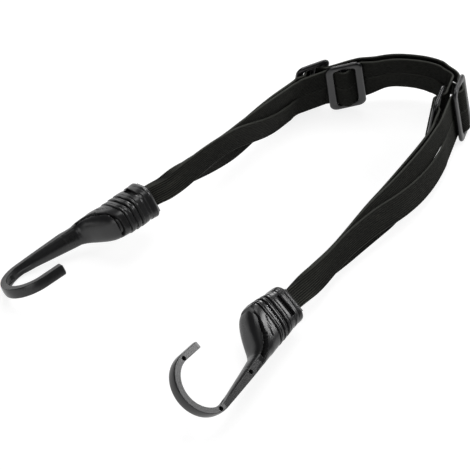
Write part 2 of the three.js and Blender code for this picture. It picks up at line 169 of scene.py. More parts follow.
@dataclass(frozen=True)
class Run:
    """One run of webbing.

    Its order counts layers from the middle, and the fan shares say how far it slips across the
    width in the left and in the right arm.
    """

    node: str
    pair: Pair
    half: Half
    order: float
    fan_shares: tuple[float, float]


@dataclass(frozen=True)
class Span:
    """A piece of a run, which rides on one body or runs from one body to the next."""

    start: float
    end: float
    bodies: tuple[str, ...]
    bend: tuple[float, float] | None = None


@dataclass
class StrapRoute:
    """The way the webbing takes from one hook to the other, with the sizes that shape it.

    Lengths are in millimetres. Turns, slopes, leans and tilts are in degrees.
    """

    clearance: float = 0.3
    band_width: float = 14.7
    band_thickness: float = 1.3
    gathered_width: float = 11.6
    gather_reach: float = 38.0
    gather_length: float = 16.0
    inside_hook: float = 18.0
    slider_thickness: float = 2.5
    end_bar: float = 4.1
    centre_bar: float = 3.6
    side_rail: float = 2.7
    slider_window: float = 4.4
    weave_clearance: float = 0.75
    crown_spacing: float = 3.4
    bend_spacing: float = 7.6
    slider_stagger: float = 12.5
    fan_left: float = 6.4
    fan_right: float = 3.4
    fan_peak_left: float = 63.7
    stacked_at_a: float = 19.3
    stacked_at_b: float = 10.7
    settle: float = 14.0
    start: tuple[float, float] = (-47.2, 4.7)
    heading: float = 36.9
    legs: tuple[Leg, ...] = (
        Leg("leaving_hook_a", 13.4, 11.1),
        Leg("left_arm", 107.6, 0.8),
        Leg("turning_in", 4.5, -20.6),
        Leg("slider_outer_left", 17.0),
        Leg("between_left_sliders", 1.6, -19.0),
        Leg("slider_inner_left", 18.5),
        Leg("crown", 45.2, -15.5),
        Leg("bend", 20.0, -101.8),
        Leg("sliders_right", 32.0),
        Leg("shoulder", 69.9, -23.2),
        Leg("right_arm", 88.9, 6.4),
    )
    height_at_a: float = 25.1
    height_left: float = 24.3
    height_crown: float = 24.8
    height_right: float = 15.6
    height_before_b: float = 11.4
    height_at_b: float = 13.0
    slope_at_a: float = 9.9
    slope_at_b: float = 7.0
    slope_inner_left: float = 8.4
    lean_at_a: float = 29.3
    lean_left: float = 2.4
    lean_left_sliders: float = -6.5
    outer_tilt: float = -6.0
    lean_crown: float = -16.7
    lean_right_sliders: float = -10.4
    inner_splay: float = 16.4
    lean_shoulder: float = -26.0
    lean_right: float = -19.3
    lean_at_b: float = -55.0
    lap_share: float = 0.1
    lap_onset: float = 2.0
    soft_bend: float = 9.0
    soft_bend_span: tuple[float, float, float, float] = (166.0, 194.0, 212.0, 226.5)
    soft_bend_reach: float = 2.0
    soft_bend_steps: int = 9
    slope_step: float = 0.05
    collar_mount: float = 9.2
    offset: np.ndarray = field(default_factory=lambda: np.zeros(3))

    def __post_init__(self) -> None:
        """Works out the places of the legs, the tables along the route and the frame's offset."""
        self.slider_length = 2 * self.end_bar + self.centre_bar + 2 * self.slider_window
        self.slider_height = 2 * self.band_width + 4 * self.clearance + 2 * self.side_rail
        self.bar_pitch = self.slider_window + (self.end_bar + self.centre_bar) / 2
        self.weave_height = self.slider_thickness / 2 + self.band_thickness / 2 + self.weave_clearance
        self.layer_pitch = self.band_thickness + self.clearance
        self.ends = np.concatenate([[0.0], np.cumsum([leg.length for leg in self.legs])])
        self.length = float(self.ends[-1])
        self.reach = {
            leg.name: (a, (a + b) / 2, b) for leg, a, b in zip(self.legs, self.ends, self.ends[1:])
        }
        self.corners = self._leg_starts()
        self._make_tables()
        self.runs = (
            Run("band_inner_upper", Pair.INNER, Half.UPPER, 0.5, (0.0, -0.5)),
            Run("band_inner_lower", Pair.INNER, Half.LOWER, 1.5, (1.0, -1.0)),
            Run("band_outer_upper", Pair.OUTER, Half.UPPER, -0.5, (-0.5, 0.0)),
            Run("band_outer_lower", Pair.OUTER, Half.LOWER, -1.5, (-1.0, 1.0)),
        )
        right = self.reach["sliders_right"][1]
        self.sliders = {
            "slider_outer_left": (Pair.OUTER, self.reach["slider_outer_left"][1]),
            "slider_inner_left": (Pair.INNER, self.reach["slider_inner_left"][1]),
            "slider_inner_right": (Pair.INNER, right + self.slider_stagger / 2),
            "slider_outer_right": (Pair.OUTER, right - self.slider_stagger / 2),
        }
        self.offset = self._frame_offset()

    def _leg_starts(self) -> np.ndarray:
        """Follows the legs, each straight or an arc of its own turn.

        Returns:
            For each leg's start, and the last one's end, the two coordinates and the heading.
        """
        x, y = self.start
        heading = math.radians(self.heading)
        rows = [(x, y, heading)]
        for leg in self.legs:
            turn = math.radians(leg.turn)
            if turn == 0:
                x += leg.length * math.cos(heading)
                y += leg.length * math.sin(heading)
            else:
                radius = leg.length / turn
                x += radius * (math.sin(heading + turn) - math.sin(heading))
                y += radius * (math.cos(heading) - math.cos(heading + turn))
            heading += turn
            rows.append((x, y, heading))
        return np.array(rows)

    def _make_tables(self) -> None:
        """Sets the keys of height, lean, spacing, spread, layers, fan and width along the route."""
        reach, settle = self.reach, self.settle
        left, right = reach["slider_outer_left"], reach["sliders_right"]
        inner = reach["slider_inner_left"]
        stand = self.slider_height / 2
        third, fifth = settle / 3, settle / 5
        angle = math.radians(self.slope_inner_left)
        rise = math.tan(angle)
        tipped = stand * math.cos(angle) + self.slider_length / 2 * math.sin(angle)
        half = (inner[2] - inner[0]) / 2
        self.height_keys = [
            (0, self.height_at_a, math.tan(math.radians(self.slope_at_a))),
            (reach["leaving_hook_a"][2], self.height_left),
            (left[0], stand), (left[2], stand),
            (inner[0], tipped - half * rise, rise), (inner[2], tipped + half * rise, rise),
            (reach["crown"][1], self.height_crown),
            (right[0], stand), (right[2], stand),
            (reach["shoulder"][2], self.height_right),
            (self.length - 2 * settle, self.height_before_b),
            (self.length, self.height_at_b, math.tan(math.radians(self.slope_at_b))),
        ]
        self.lean_keys = [
            (0, self.lean_at_a), (reach["left_arm"][1], self.lean_left),
            (left[0], self.lean_left_sliders), (inner[2], self.lean_left_sliders),
            (inner[2] + settle, self.lean_crown), (reach["bend"][1], self.lean_crown),
            (right[0], self.lean_right_sliders), (right[2], self.lean_right_sliders),
            (reach["shoulder"][2], self.lean_shoulder),
            (reach["right_arm"][1], self.lean_right), (self.length, self.lean_at_b),
        ]
        self.pair_lean_keys = {
            Pair.OUTER: [
                (reach["left_arm"][2] - third, 0), (left[0], self.outer_tilt),
                (left[2], self.outer_tilt), (inner[2], 0),
            ],
            Pair.INNER: [
                (reach["bend"][0], 0), (right[0] - self.clearance, self.inner_splay),
                (right[2], self.inner_splay), (reach["shoulder"][2], 0),
            ],
        }
        self.spacing_keys = [
            (0, self.layer_pitch), (reach["left_arm"][2] - settle, self.crown_spacing / 2),
            (reach["bend"][0], self.crown_spacing / 2),
            (right[0] - self.clearance, self.bend_spacing / 2),
            (right[2] + self.clearance, self.bend_spacing / 2),
            (reach["right_arm"][1], self.layer_pitch),
        ]
        self.spread_keys = [
            (self.stacked_at_a, 0), (reach["left_arm"][2] - third, 1),
            (right[2] + settle, 1), (self.length - self.stacked_at_b, 0),
        ]
        self.layer_keys = [
            (reach["left_arm"][2] - third, 1), (reach["turning_in"][2] - fifth, 0),
            (right[2] + fifth, 0), (right[2] + settle, 1),
        ]
        self.fan_keys = (
            [(self.gather_length, 0), (self.fan_peak_left, 1), (reach["left_arm"][2] - settle, 0)],
            [(right[2] + settle, 0), (reach["right_arm"][1] - settle, 1),
             (self.length - self.gather_length, 0)],
        )
        self.width_keys = [
            (0, self.gathered_width), (self.gather_reach, self.band_width),
            (self.length - self.gather_reach, self.band_width), (self.length, self.gathered_width),
        ]

    def _frame_offset(self) -> np.ndarray:
        """Finds the move from the route's own origin to the frame's, from hook A's collar mount.

        Returns:
            The move in millimetres.
        """
        mounts = {m["name"]: m for m in frame["record"]["mounts"]}
        seat = np.array(mounts["hook_a_collar_end"]["pos_m"]) / MM
        point, _, _, inward = self.at(np.array([0.0]))
        return seat - (point + inward * self.collar_mount)[0]

    def plan(self, s: np.ndarray) -> tuple[np.ndarray, np.ndarray, np.ndarray]:
        """Gives the floor plan's points and headings, straight on past both ends.

        Args:
            s: Places along the strap.

        Returns:
            The two coordinates and the heading in radians.
        """
        i = np.clip(np.searchsorted(self.ends, s, side="right") - 1, 0, len(self.legs) - 1)
        over = s > self.length
        i = np.where(over, len(self.legs), i)
        x, y, heading = self.corners[i].T
        lengths = np.array([leg.length for leg in self.legs] + [1.0])
        turns = np.radians([leg.turn for leg in self.legs] + [0.0])
        along = s - self.ends[i]
        swing = np.where(s < 0, 0.0, turns[i] * along / lengths[i])
        level = np.abs(swing) < NEAR_ZERO
        radius = np.where(level, 0.0, along / np.where(level, 1.0, swing))
        straight_x, straight_y = along * np.cos(heading), along * np.sin(heading)
        curved_x = radius * (np.sin(heading + swing) - np.sin(heading))
        curved_y = radius * (np.cos(heading) - np.cos(heading + swing))
        return (
            x + np.where(level, straight_x, curved_x),
            y + np.where(level, straight_y, curved_y),
            heading + swing,
        )

    def at(self, s: np.ndarray, pair: Pair | None = None) -> tuple[np.ndarray, ...]:
        """Gives the moving frame of the route.

        Args:
            s: Places along the strap.
            pair: The pair whose own lean is added, or none.

        Returns:
            Points, and the directions along, across the webbing's width and out of its face.
        """
        s = np.asarray(s, float)
        x, y, heading = self.plan(s)
        step = self.slope_step
        rise = keyed(self.height_keys, s + step) - keyed(self.height_keys, s - step)
        slope = np.arctan(rise / (2 * step))
        lean = keyed(self.lean_keys, s)
        if pair:
            lean = lean + keyed(self.pair_lean_keys[pair], s)
        lean = np.radians(lean)[..., None]
        along = np.stack(
            [np.cos(heading) * np.cos(slope), np.sin(heading) * np.cos(slope), np.sin(slope)], -1)
        leftward = np.stack([-np.sin(heading), np.cos(heading), 0 * heading], -1)
        up = np.cross(along, leftward)
        across = up * np.cos(lean) + leftward * np.sin(lean)
        inward = np.cross(along, across)
        return np.stack([x, y, keyed(self.height_keys, s)], -1), along, across, inward

    def run_points(self, run: Run, s: np.ndarray) -> np.ndarray:
        """Gives the middle line of one run of webbing.

        Where the strap turns sharply, each point is the average of its neighbours on the tight
        line, with weights that fall off as a bell curve.

        Args:
            run: The run of webbing.
            s: Places along the strap.

        Returns:
            Points in millimetres.
        """
        begin, full, last, end = self.soft_bend_span
        reach = self.soft_bend * smooth((s - begin) / (full - begin)) * smooth((end - s) / (end - last))
        x = np.linspace(-self.soft_bend_reach, self.soft_bend_reach, self.soft_bend_steps)
        weights = np.exp(-x**2 / 2)
        points = [self.tight_points(run, s + reach * step) for step in x]
        return np.tensordot(weights / weights.sum(), np.array(points), 1)

    def tight_points(self, run: Run, s: np.ndarray) -> np.ndarray:
        """Gives the middle line of one run of webbing as its solid takes it.

        From the route the run is moved across by its half of the pair and its fan, and out of
        the face by its pair, its layer and a raised cosine over each slider's centre bar.

        Args:
            run: The run of webbing.
            s: Places along the strap.

        Returns:
            Points in millimetres.
        """
        point, _, across, inward = self.at(s, run.pair)
        layers = keyed(self.layer_keys, s)
        lap = self.lap_share * smooth(self.lap_onset * layers)
        half = (self.band_width + self.clearance) / 2 * (1 - lap)
        side = keyed(self.spread_keys, s) * run.half.value * half
        for size, share, keys in zip((self.fan_left, self.fan_right), run.fan_shares, self.fan_keys):
            side = side + size * share * keyed(keys, s)
        pair = run.pair.value
        depth = pair * keyed(self.spacing_keys, s)
        depth = depth + (run.order - pair) * self.layer_pitch * layers
        for slider_pair, place in self.sliders.values():
            if slider_pair == run.pair:
                x = np.minimum(1, np.abs(s - place) / self.bar_pitch)
                depth = depth + pair * self.weave_height * (1 + np.cos(np.pi * x))
        return point + across * side[..., None] + inward * depth[..., None] + self.offset

    def run_frame(self, run: Run, s: np.ndarray) -> tuple[np.ndarray, ...]:
        """Gives one run's middle line with its directions.

        Args:
            run: The run of webbing.
            s: Places along the strap.

        Returns:
            Points, and the directions across the width and out of the face.
        """
        step = self.slope_step
        point = self.run_points(run, s)
        along = unit(self.run_points(run, s + step) - self.run_points(run, s - step))
        across = self.at(s, run.pair)[2]
        return point, across, unit(np.cross(along, across))

    def slider_matrix(self, name: str) -> Matrix:
        """Places a slider on its pair of bands.

        Args:
            name: The slider's node.

        Returns:
            A placement whose axes run along, across and out of the webbing's face.
        """
        pair, place = self.sliders[name]
        s = np.array([place])
        point, along, across, inward = (v[0] for v in self.at(s, pair))
        depth = pair.value * (keyed(self.spacing_keys, s)[0] + self.weave_height)
        return axes_matrix(along, across, inward, point + inward * depth + self.offset)

    def hook_matrix(self, side: Side) -> Matrix:
        """Places a hook at its end of the strap.

        Args:
            side: The end of the strap.

        Returns:
            A placement whose axes run from the collar's end to the bend, towards the tip's side
            and across.
        """
        s = np.array([0.0 if side is Side.A else self.length])
        point, along, across, inward = (v[0] for v in self.at(s))
        if side is Side.A:
            return axes_matrix(-along, inward, across, point + self.offset)
        return axes_matrix(along, across, inward, point + self.offset)


def axes_matrix(x: np.ndarray, y: np.ndarray, z: np.ndarray, origin: np.ndarray) -> Matrix:
    """Makes a placement from three directions and an origin.

    Args:
        x: First direction.
        y: Second direction.
        z: Third direction.
        origin: Where the origin goes, in millimetres.

    Returns:
        The placement.
    """
    rows = np.eye(4)
    rows[:3, 0], rows[:3, 1], rows[:3, 2], rows[:3, 3] = x, y, z, origin
    return Matrix(rows.tolist())


class NodeTree:
    """Adds nodes to one material and joins them."""

    def __init__(self, name: str) -> None:
        """Starts a material with an empty tree.

        Args:
            name: The material's name.
        """
        self.material = bpy.data.materials.new(name)
        self.material.use_nodes = True
        self.tree = self.material.node_tree
        self.tree.nodes.clear()

    def add(self, kind: str, inputs: dict | None = None, **settings: object) -> bpy.types.Node:
        """Adds a node.

        Args:
            kind: The node's type, without its prefix.
            inputs: Socket names or numbers, each with a value or with the socket that feeds it.
            settings: The node's own settings.

        Returns:
            The node.
        """
        node = self.tree.nodes.new(f"ShaderNode{kind}")
        for key, value in settings.items():
            setattr(node, key, value)
        for key, value in (inputs or {}).items():
            if isinstance(value, bpy.types.NodeSocket):
                self.tree.links.new(value, node.inputs[key])
            else:
                node.inputs[key].default_value = value
        return node

    def maths(self, operation: str, *values: object) -> bpy.types.NodeSocket:
        """Adds a sum of one to three values and gives its result."""
        node = self.add("Math", dict(enumerate(values)), operation=operation)
        return node.outputs[0]

    def ramp(self, value: bpy.types.NodeSocket, low: float, high: float,
             to_low: float = 0.0, to_high: float = 1.0) -> bpy.types.NodeSocket:
        """Maps a value from one range to another, held at both ends."""
        inputs = {"Value": value, "From Min": low, "From Max": high, "To Min": to_low, "To Max": to_high}
        return self.add("MapRange", inputs).outputs["Result"]

    def finish(self, shader: bpy.types.Node) -> bpy.types.Material:
        """Joins the last shader to the output and gives the material."""
        self.add("OutputMaterial", {"Surface": shader.outputs[0]})
        return self.material


@dataclass(frozen=True)
class WovenElastic:
    """Braided polyester elastic in black: ribs along it, picks across it and a denser selvedge."""

    # Matt dyed yarn, a warm dark grey on the ribs. Near black in the grooves is painted shade.
    # The rib crowns are paler with wear and a painted highlight, and the selvedges with denser
    # yarn and a painted highlight.
    # Twelve ribs share the 14.7 mm width. The picks of such webbing are too fine to show in the
    # render, so they are drawn coarser, 0.85 mm apart.
    name: str = "braided_polyester_elastic"
    dark: str = "080807"
    light: str = "383934"
    worn_and_highlight: str = "45463f"
    # Selvedge colour: paler with denser yarn, and partly a painted highlight.
    edge: str = "42433f"
    rib_pitch: float = 1.225
    pick_pitch: float = 0.85
    edge_width: float = 0.3
    roughness: float = 0.85
    specular: float = 0.2
    relief: float = 0.00015
    groove_edges: tuple[float, float] = (0.2, 0.5)
    crown_wear_and_highlight: tuple[float, float] = (0.30, 0.12)
    groove_shade: float = 0.9
    bump: float = 0.9
    fibre_detail: tuple[float, float] = (5.0, 0.7)
    fibre_span: tuple[float, float] = (0.28, 0.72)
    cloud_span: tuple[float, float] = (0.45, 0.75)
    fibre_stretch: tuple[float, float, float] = (1.6, 0.35, 1.0)
    cloud_stretch: tuple[float, float, float] = (2.5, 1.0, 1.0)
    cloud_scale: float = 0.05
    cloud_wear: float = 0.4
    pick_relief: float = 0.25
    fibre_relief: float = 0.5
    pick_tone: float = 0.10
    end_highlight_reach: tuple[float, float] = (45.0, 4.0)
    end_highlight_share: float = 0.55

    def material(self, width: float, length: float) -> bpy.types.Material:
        """Builds the webbing's material on the runs' own millimetre map.

        Args:
            width: The webbing's full width.
            length: The strap's length, near whose ends the rib crowns get a painted highlight.

        Returns:
            The material.
        """
        t = NodeTree(self.name)
        uv = t.add("UVMap", uv_map="weave").outputs["UV"]
        parts = t.add("SeparateXYZ", {0: uv})
        across, along = parts.outputs[0], parts.outputs[1]
        rib = t.maths("DIVIDE", across, self.rib_pitch)
        rib_number = t.maths("FLOOR", rib)
        off = t.maths("ABSOLUTE", t.maths("SUBTRACT", t.maths("FRACT", rib), 0.5))
        groove = t.ramp(off, *self.groove_edges)
        parity = t.maths("FRACT", t.maths("MULTIPLY", rib_number, 0.5))
        pick = t.maths("ADD", t.maths("DIVIDE", along, self.pick_pitch), parity)
        pick = t.maths("SINE", t.maths("MULTIPLY", pick, 2 * math.pi))
        detail, grit = self.fibre_detail
        fibre = t.add("TexNoise", {
            "Vector": t.add("Mapping", {"Vector": uv, "Scale": self.fibre_stretch}).outputs[0],
            "Scale": 1.0, "Detail": detail, "Roughness": grit,
        }).outputs["Fac"]
        cloud = t.add("TexNoise", {
            "Vector": t.add("Mapping", {"Vector": uv, "Scale": self.cloud_stretch}).outputs[0],
            "Scale": self.cloud_scale, "Detail": 2.0,
        }).outputs["Fac"]
        height = t.maths("MULTIPLY_ADD", groove, -1.0, t.maths("MULTIPLY", pick, self.pick_relief))
        height = t.maths("MULTIPLY_ADD", fibre, self.fibre_relief, height)
        tone = t.maths("MULTIPLY_ADD", pick, self.pick_tone, t.ramp(fibre, *self.fibre_span))
        # Painted shade: the tone falls to the dark colour towards each groove between the ribs.
        tone = t.maths("MULTIPLY", tone, t.ramp(groove, 0.0, self.groove_shade, 1.0, 0.0))
        yarn = t.add("Mix", {0: tone, 6: hex_colour(self.dark), 7: hex_colour(self.light)},
                     data_type="RGBA").outputs[2]
        # Paler rib crowns: random wear from the cloud noise, and a painted highlight near both ends,
        # where the ribs are drawn open.
        from_middle = t.maths("ABSOLUTE", t.maths("SUBTRACT", along, length / 2))
        begin, full = (length / 2 - reach for reach in self.end_highlight_reach)
        end_highlight = t.ramp(from_middle, begin, full, 0.0, 1.0)
        wear_and_highlight_share = t.maths("ADD", t.ramp(cloud, *self.cloud_span, 0.0, self.cloud_wear),
                       t.maths("MULTIPLY", end_highlight, self.end_highlight_share))
        wear_and_highlight_share = t.maths("MULTIPLY", wear_and_highlight_share, t.ramp(off, *self.crown_wear_and_highlight))
        yarn_worn_and_lit = t.add("Mix", {0: wear_and_highlight_share, 6: yarn, 7: hex_colour(self.worn_and_highlight)},
                          data_type="RGBA").outputs[2]
        # Paler selvedge at both edges: denser yarn, partly a painted highlight.
        rim = t.maths("ABSOLUTE", t.maths("SUBTRACT", across, width / 2))
        rim = t.ramp(rim, width / 2 - 2 * self.edge_width, width / 2 - self.edge_width)
        colour = t.add("Mix", {0: rim, 6: yarn_worn_and_lit, 7: hex_colour(self.edge)},
                       data_type="RGBA").outputs[2]
        bump = t.add("Bump", {"Height": height, "Strength": self.bump, "Distance": self.relief})
        shader = t.add("BsdfPrincipled", {
            "Base Color": colour, "Roughness": self.roughness,
            "Specular IOR Level": self.specular,
            "Normal": bump.outputs[0],
        })
        return t.finish(shader)


@dataclass(frozen=True)
class MouldedPlastic:
    """Moulded plastic: colour, gloss, mould texture and softened edges."""

    # A moulded skin is smooth, so it shows broad soft highlights. Grain of about 1 mm breaks
    # them up a little, and the edges get a painted highlight, a paler colour.
    name: str
    colour: str
    edge_highlight: str
    roughness: float
    grain: float = 900.0
    relief: float = 0.00003
    edge: float = 0.00018
    specular: float = 0.5
    mottle: float = 70.0
    bump: float = 0.35
    bevel_samples: int = 6
    edge_highlight_share: float = 0.6
    edge_highlight_turn: tuple[float, float] = (0.995, 0.9)
    gloss_spread: tuple[float, float] = (0.04, 0.05)

    def material(self) -> bpy.types.Material:
        """Builds the plastic's material on object coordinates.

        Returns:
            The material.
        """
        t = NodeTree(self.name)
        place = t.add("TexCoord").outputs["Object"]
        fine = t.add("TexNoise", {"Vector": place, "Scale": self.grain, "Detail": 4.0}).outputs["Fac"]
        broad = t.add("TexNoise", {"Vector": place, "Scale": self.mottle, "Detail": 3.0}).outputs["Fac"]
        soft = t.add("Bevel", {"Radius": self.edge}, samples=self.bevel_samples)
        bump = t.add("Bump", {
            "Height": fine, "Strength": self.bump, "Distance": self.relief, "Normal": soft.outputs[0],
        })
        # Painted highlight: the colour turns paler on edges, where the softened normal parts from the
        # true one.
        turned = t.add("VectorMath", {0: soft.outputs[0], 1: t.add("NewGeometry").outputs["Normal"]},
                       operation="DOT_PRODUCT").outputs["Value"]
        edge = t.ramp(turned, *self.edge_highlight_turn)
        colour = t.add("Mix", {
            0: t.maths("MULTIPLY", edge, self.edge_highlight_share),
            6: hex_colour(self.colour), 7: hex_colour(self.edge_highlight),
        }, data_type="RGBA").outputs[2]
        glossier, duller = self.gloss_spread
        gloss = t.ramp(broad, *NOISE_SPAN, self.roughness - glossier, self.roughness + duller)
        shader = t.add("BsdfPrincipled", {
            "Base Color": colour, "Roughness": gloss,
            "Specular IOR Level": self.specular, "Normal": bump.outputs[0],
        })
        return t.finish(shader)


@dataclass(frozen=True)
class RolledSteel:
    """Rolled bright steel of the crimps."""

    # Cold rolling leaves fine lines along the strip, which stretch the highlights.
    name: str = "crimp_steel"
    colour: str = "8f9194"
    roughness: float = 0.35
    line_stretch: tuple[float, float, float] = (4.0, 1.0, 1.0)
    line_scale: float = 600.0
    gloss_spread: tuple[float, float] = (0.08, 0.1)

    def material(self) -> bpy.types.Material:
        """Builds the steel with fine rolling lines.

        Returns:
            The material.
        """
        t = NodeTree(self.name)
        place = t.add("TexCoord").outputs["Object"]
        lines = t.add("TexNoise", {
            "Vector": t.add("Mapping", {"Vector": place, "Scale": self.line_stretch}).outputs[0],
            "Scale": self.line_scale, "Detail": 3.0,
        }).outputs["Fac"]
        glossier, duller = self.gloss_spread
        gloss = t.ramp(lines, *NOISE_SPAN, self.roughness - glossier, self.roughness + duller)
        shader = t.add("BsdfPrincipled", {
            "Base Color": hex_colour(self.colour), "Metallic": 1.0, "Roughness": gloss,
        })
        return t.finish(shader)


# Sliders: acetal, a polished tool's skin in near black, with a painted highlight on its edges
SLIDER_ACETAL = MouldedPlastic("moulded_acetal", "18181a", "444448", 0.3)
# Hooks: nylon, a smooth charcoal skin whose flats catch broad highlights
HOOK_NYLON = MouldedPlastic("moulded_nylon", "2a2a2b", "48484a", 0.3)
# Plugs: polypropylene, duller and waxy, hidden in the collars
PLUG_POLYPROPYLENE = MouldedPlastic("moulded_polypropylene", "202021", "3a3a3c", 0.55)


def new_object(name: str, mesh: bpy.types.Mesh, material: bpy.types.Material) -> bpy.types.Object:
    """Puts a finished mesh in the scene as an object with one material.

    Args:
        name: The object's name.
        mesh: Its mesh, in metres.
        material: Its material.

    Returns:
        The object.
    """
    mesh.materials.clear()
    mesh.materials.append(material)
    piece = bpy.data.objects.new(name, mesh)
    bpy.context.scene.collection.objects.link(piece)
    return piece


def grid_faces(rings: int, sides: int, closed: bool, first: int) -> list[list[int]]:
    """Lists the quads of a tube, with an end face at each end where it isn't closed.

    Args:
        rings: How many sections the tube has.
        sides: How many points a section has.
        closed: Whether the last section joins the first.
        first: Number of the tube's first point.

    Returns:
        Faces as lists of point numbers.
    """
    i, j = np.meshgrid(np.arange(rings if closed else rings - 1), np.arange(sides), indexing="ij")
    k, m = (j + 1) % sides, (i + 1) % rings
    quads = np.stack([i * sides + j, i * sides + k, m * sides + k, m * sides + j], -1) + first
    faces = quads.reshape(-1, 4).tolist()
    if not closed:
        faces.append([first + j for j in range(sides)][::-1])
        faces.append([first + (rings - 1) * sides + j for j in range(sides)])
    return faces


def outward(mesh: bpy.types.Mesh) -> None:
    """Turns every face of a closed mesh outwards.

    Args:
        mesh: The mesh, which is changed.
    """
    shape = bmesh.new()
    shape.from_mesh(mesh)
    bmesh.ops.recalc_face_normals(shape, faces=shape.faces)
    shape.to_mesh(mesh)
    shape.free()


@dataclass
class Webbing:
    """The four runs of webbing, each cut into spans that ride on one body or run between two."""

    route: StrapRoute
    ribs: int = 12
    rib_samples: int = 4
    rib_depth: float = 0.24
    selvedge: float = 0.3
    long_step: float = 1.6
    short_step: float = 0.55
    slack: float = 1.0
    rib_roundness: float = 0.6
    rim_share: float = 0.45
    close_span: float = 2.5
    first_cut: tuple[float, float] = (31.0, 38.0)
    middle_cut: tuple[float, float] = (1.0, -12.0)
    last_cut: tuple[float, float] = (10.5, 5.5)

    def outline(self) -> np.ndarray:
        """Gives the section of one run of webbing.

        Each face has its ribs side by side. A rib's height is the size of a sine across the
        width, raised to a power below one, which makes it full and round with narrow grooves.

        Returns:
            Points round it, as shares of the half width and millimetres from the middle.
        """
        half = self.route.band_thickness / 2
        count = self.ribs * self.rib_samples
        x = np.linspace(1, -1, count + 1)
        phase = (x + 1) / 2 * self.ribs
        rib = np.abs(np.sin(np.pi * phase)) ** self.rib_roundness
        depth = half - self.rib_depth * (1 - rib)
        depth[[0, -1]] = half - self.rib_depth
        edge = 1 - self.selvedge / self.route.band_width
        top = np.stack([x * edge, depth], 1)
        rim = half * self.rim_share
        left = np.array([[-1, rim], [-1, -rim]])
        bottom = np.stack([-x * edge, -depth], 1)
        right = np.array([[1, -rim], [1, rim]])
        return np.concatenate([top, left, bottom, right])

    def spans(self, pair: Pair) -> list[Span]:
        """Lists the pieces of a run of this pair.

        Args:
            pair: The pair that the run belongs to.

        Returns:
            Spans from hook A to hook B, end to end.
        """
        route = self.route
        grip = route.slider_length / 2 + self.slack
        outer = int(pair is Pair.OUTER)
        left_name, right_name = (f"slider_{pair.name.lower()}_{side}" for side in ("left", "right"))
        left = route.sliders[left_name][1]
        right = route.sliders[right_name][1]
        crown_end = route.reach["bend"][0]
        first = route.reach["left_arm"][2] - self.first_cut[outer]
        middle = crown_end + self.middle_cut[outer]
        last = route.reach["shoulder"][2] + self.last_cut[outer]
        inside, end = route.inside_hook, route.length
        return [
            Span(-inside, first, ("hook_a", "strap"), (0.0, first)),
            Span(first, left - grip, ("strap", left_name), (first, left - grip)),
            Span(left - grip, left + grip, (left_name,)),
            Span(left + grip, middle, (left_name, "strap"), (left + grip, middle)),
            Span(middle, right - grip, ("strap", right_name), (middle, right - grip)),
            Span(right - grip, right + grip, (right_name,)),
            Span(right + grip, last, (right_name, "strap"), (right + grip, last)),
            Span(last, end + inside, ("strap", "hook_b"), (last, end)),
        ]

    def stations(self, run: Run, spans: list[Span]) -> np.ndarray:
        """Spaces the rings closely through the sliders and wider elsewhere, with one at each cut.

        Args:
            run: The run of webbing.
            spans: Its pieces, end to end.

        Returns:
            The rings' places along the strap.
        """
        route = self.route
        reach = self.close_span * route.slider_length
        near = [place for pair, place in route.sliders.values() if pair is run.pair]
        cuts = [spans[0].start] + [span.end for span in spans]
        places = [cuts[0]]
        for a, b in zip(cuts, cuts[1:]):
            close = any(min(abs(a - p), abs(b - p)) < route.slider_length for p in near)
            tight = b > route.reach["bend"][0] and a < route.reach["bend"][2]
            step = self.short_step if close and b - a < reach else self.long_step
            if tight:
                step = (self.short_step + self.long_step) / 2
            count = max(2, math.ceil((b - a) / step))
            places.extend(np.linspace(a, b, count + 1)[1:])
        return np.array(places)

    def build(self, material: bpy.types.Material) -> list[bpy.types.Object]:
        """Builds every run and joins each piece that rides on one body to that body.

        Args:
            material: The webbing's material.

        Returns:
            The pieces' objects.
        """
        pieces = []
        for run in self.route.runs:
            pieces.extend(self.build_run(run, self.spans(run.pair), material))
        return pieces

    def build_run(self, run: Run, spans: list[Span],
                  material: bpy.types.Material) -> list[bpy.types.Object]:
        """Builds one run of webbing and its pieces.

        Args:
            run: The run of webbing.
            spans: Its pieces, end to end.
            material: The webbing's material.

        Returns:
            The pieces' objects.
        """
        route = self.route
        s = self.stations(run, spans)
        outline = self.outline()
        point, across, face = route.run_frame(run, s)
        half = keyed(route.width_keys, s)[:, None, None] / 2
        grid = (
            point[:, None]
            + across[:, None] * outline[None, :, :1] * half
            + face[:, None] * outline[None, :, 1:]
        ) * MM
        ring = np.roll(grid, -1, 1) - np.roll(grid, 1, 1)
        normals = unit(np.cross(ring, np.gradient(grid, axis=0)))
        top_point = len(outline) // 8
        if np.sum(normals[0, top_point] * face[0]) < 0:
            normals = -normals
        made = []
        for number, span in enumerate(spans, 1):
            rows = np.nonzero((s >= span.start - NEAR_ZERO) & (s <= span.end + NEAR_ZERO))[0]
            name = f"{run.node.replace('band', 'webbing')}_{number}"
            mesh = self.make_mesh(name, grid[rows], normals[rows], outline, s[rows], half[rows, 0, 0])
            piece = new_object(name, mesh, material)
            if span.bend:
                ends = route.run_points(run, np.array(span.bend)) * MM
                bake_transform(piece)
            else:
                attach(piece, span.bodies[0])
            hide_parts(run.node)
            made.append(piece)
        log.info("%s: %d pieces, %d rings", run.node, len(made), len(s))
        return made

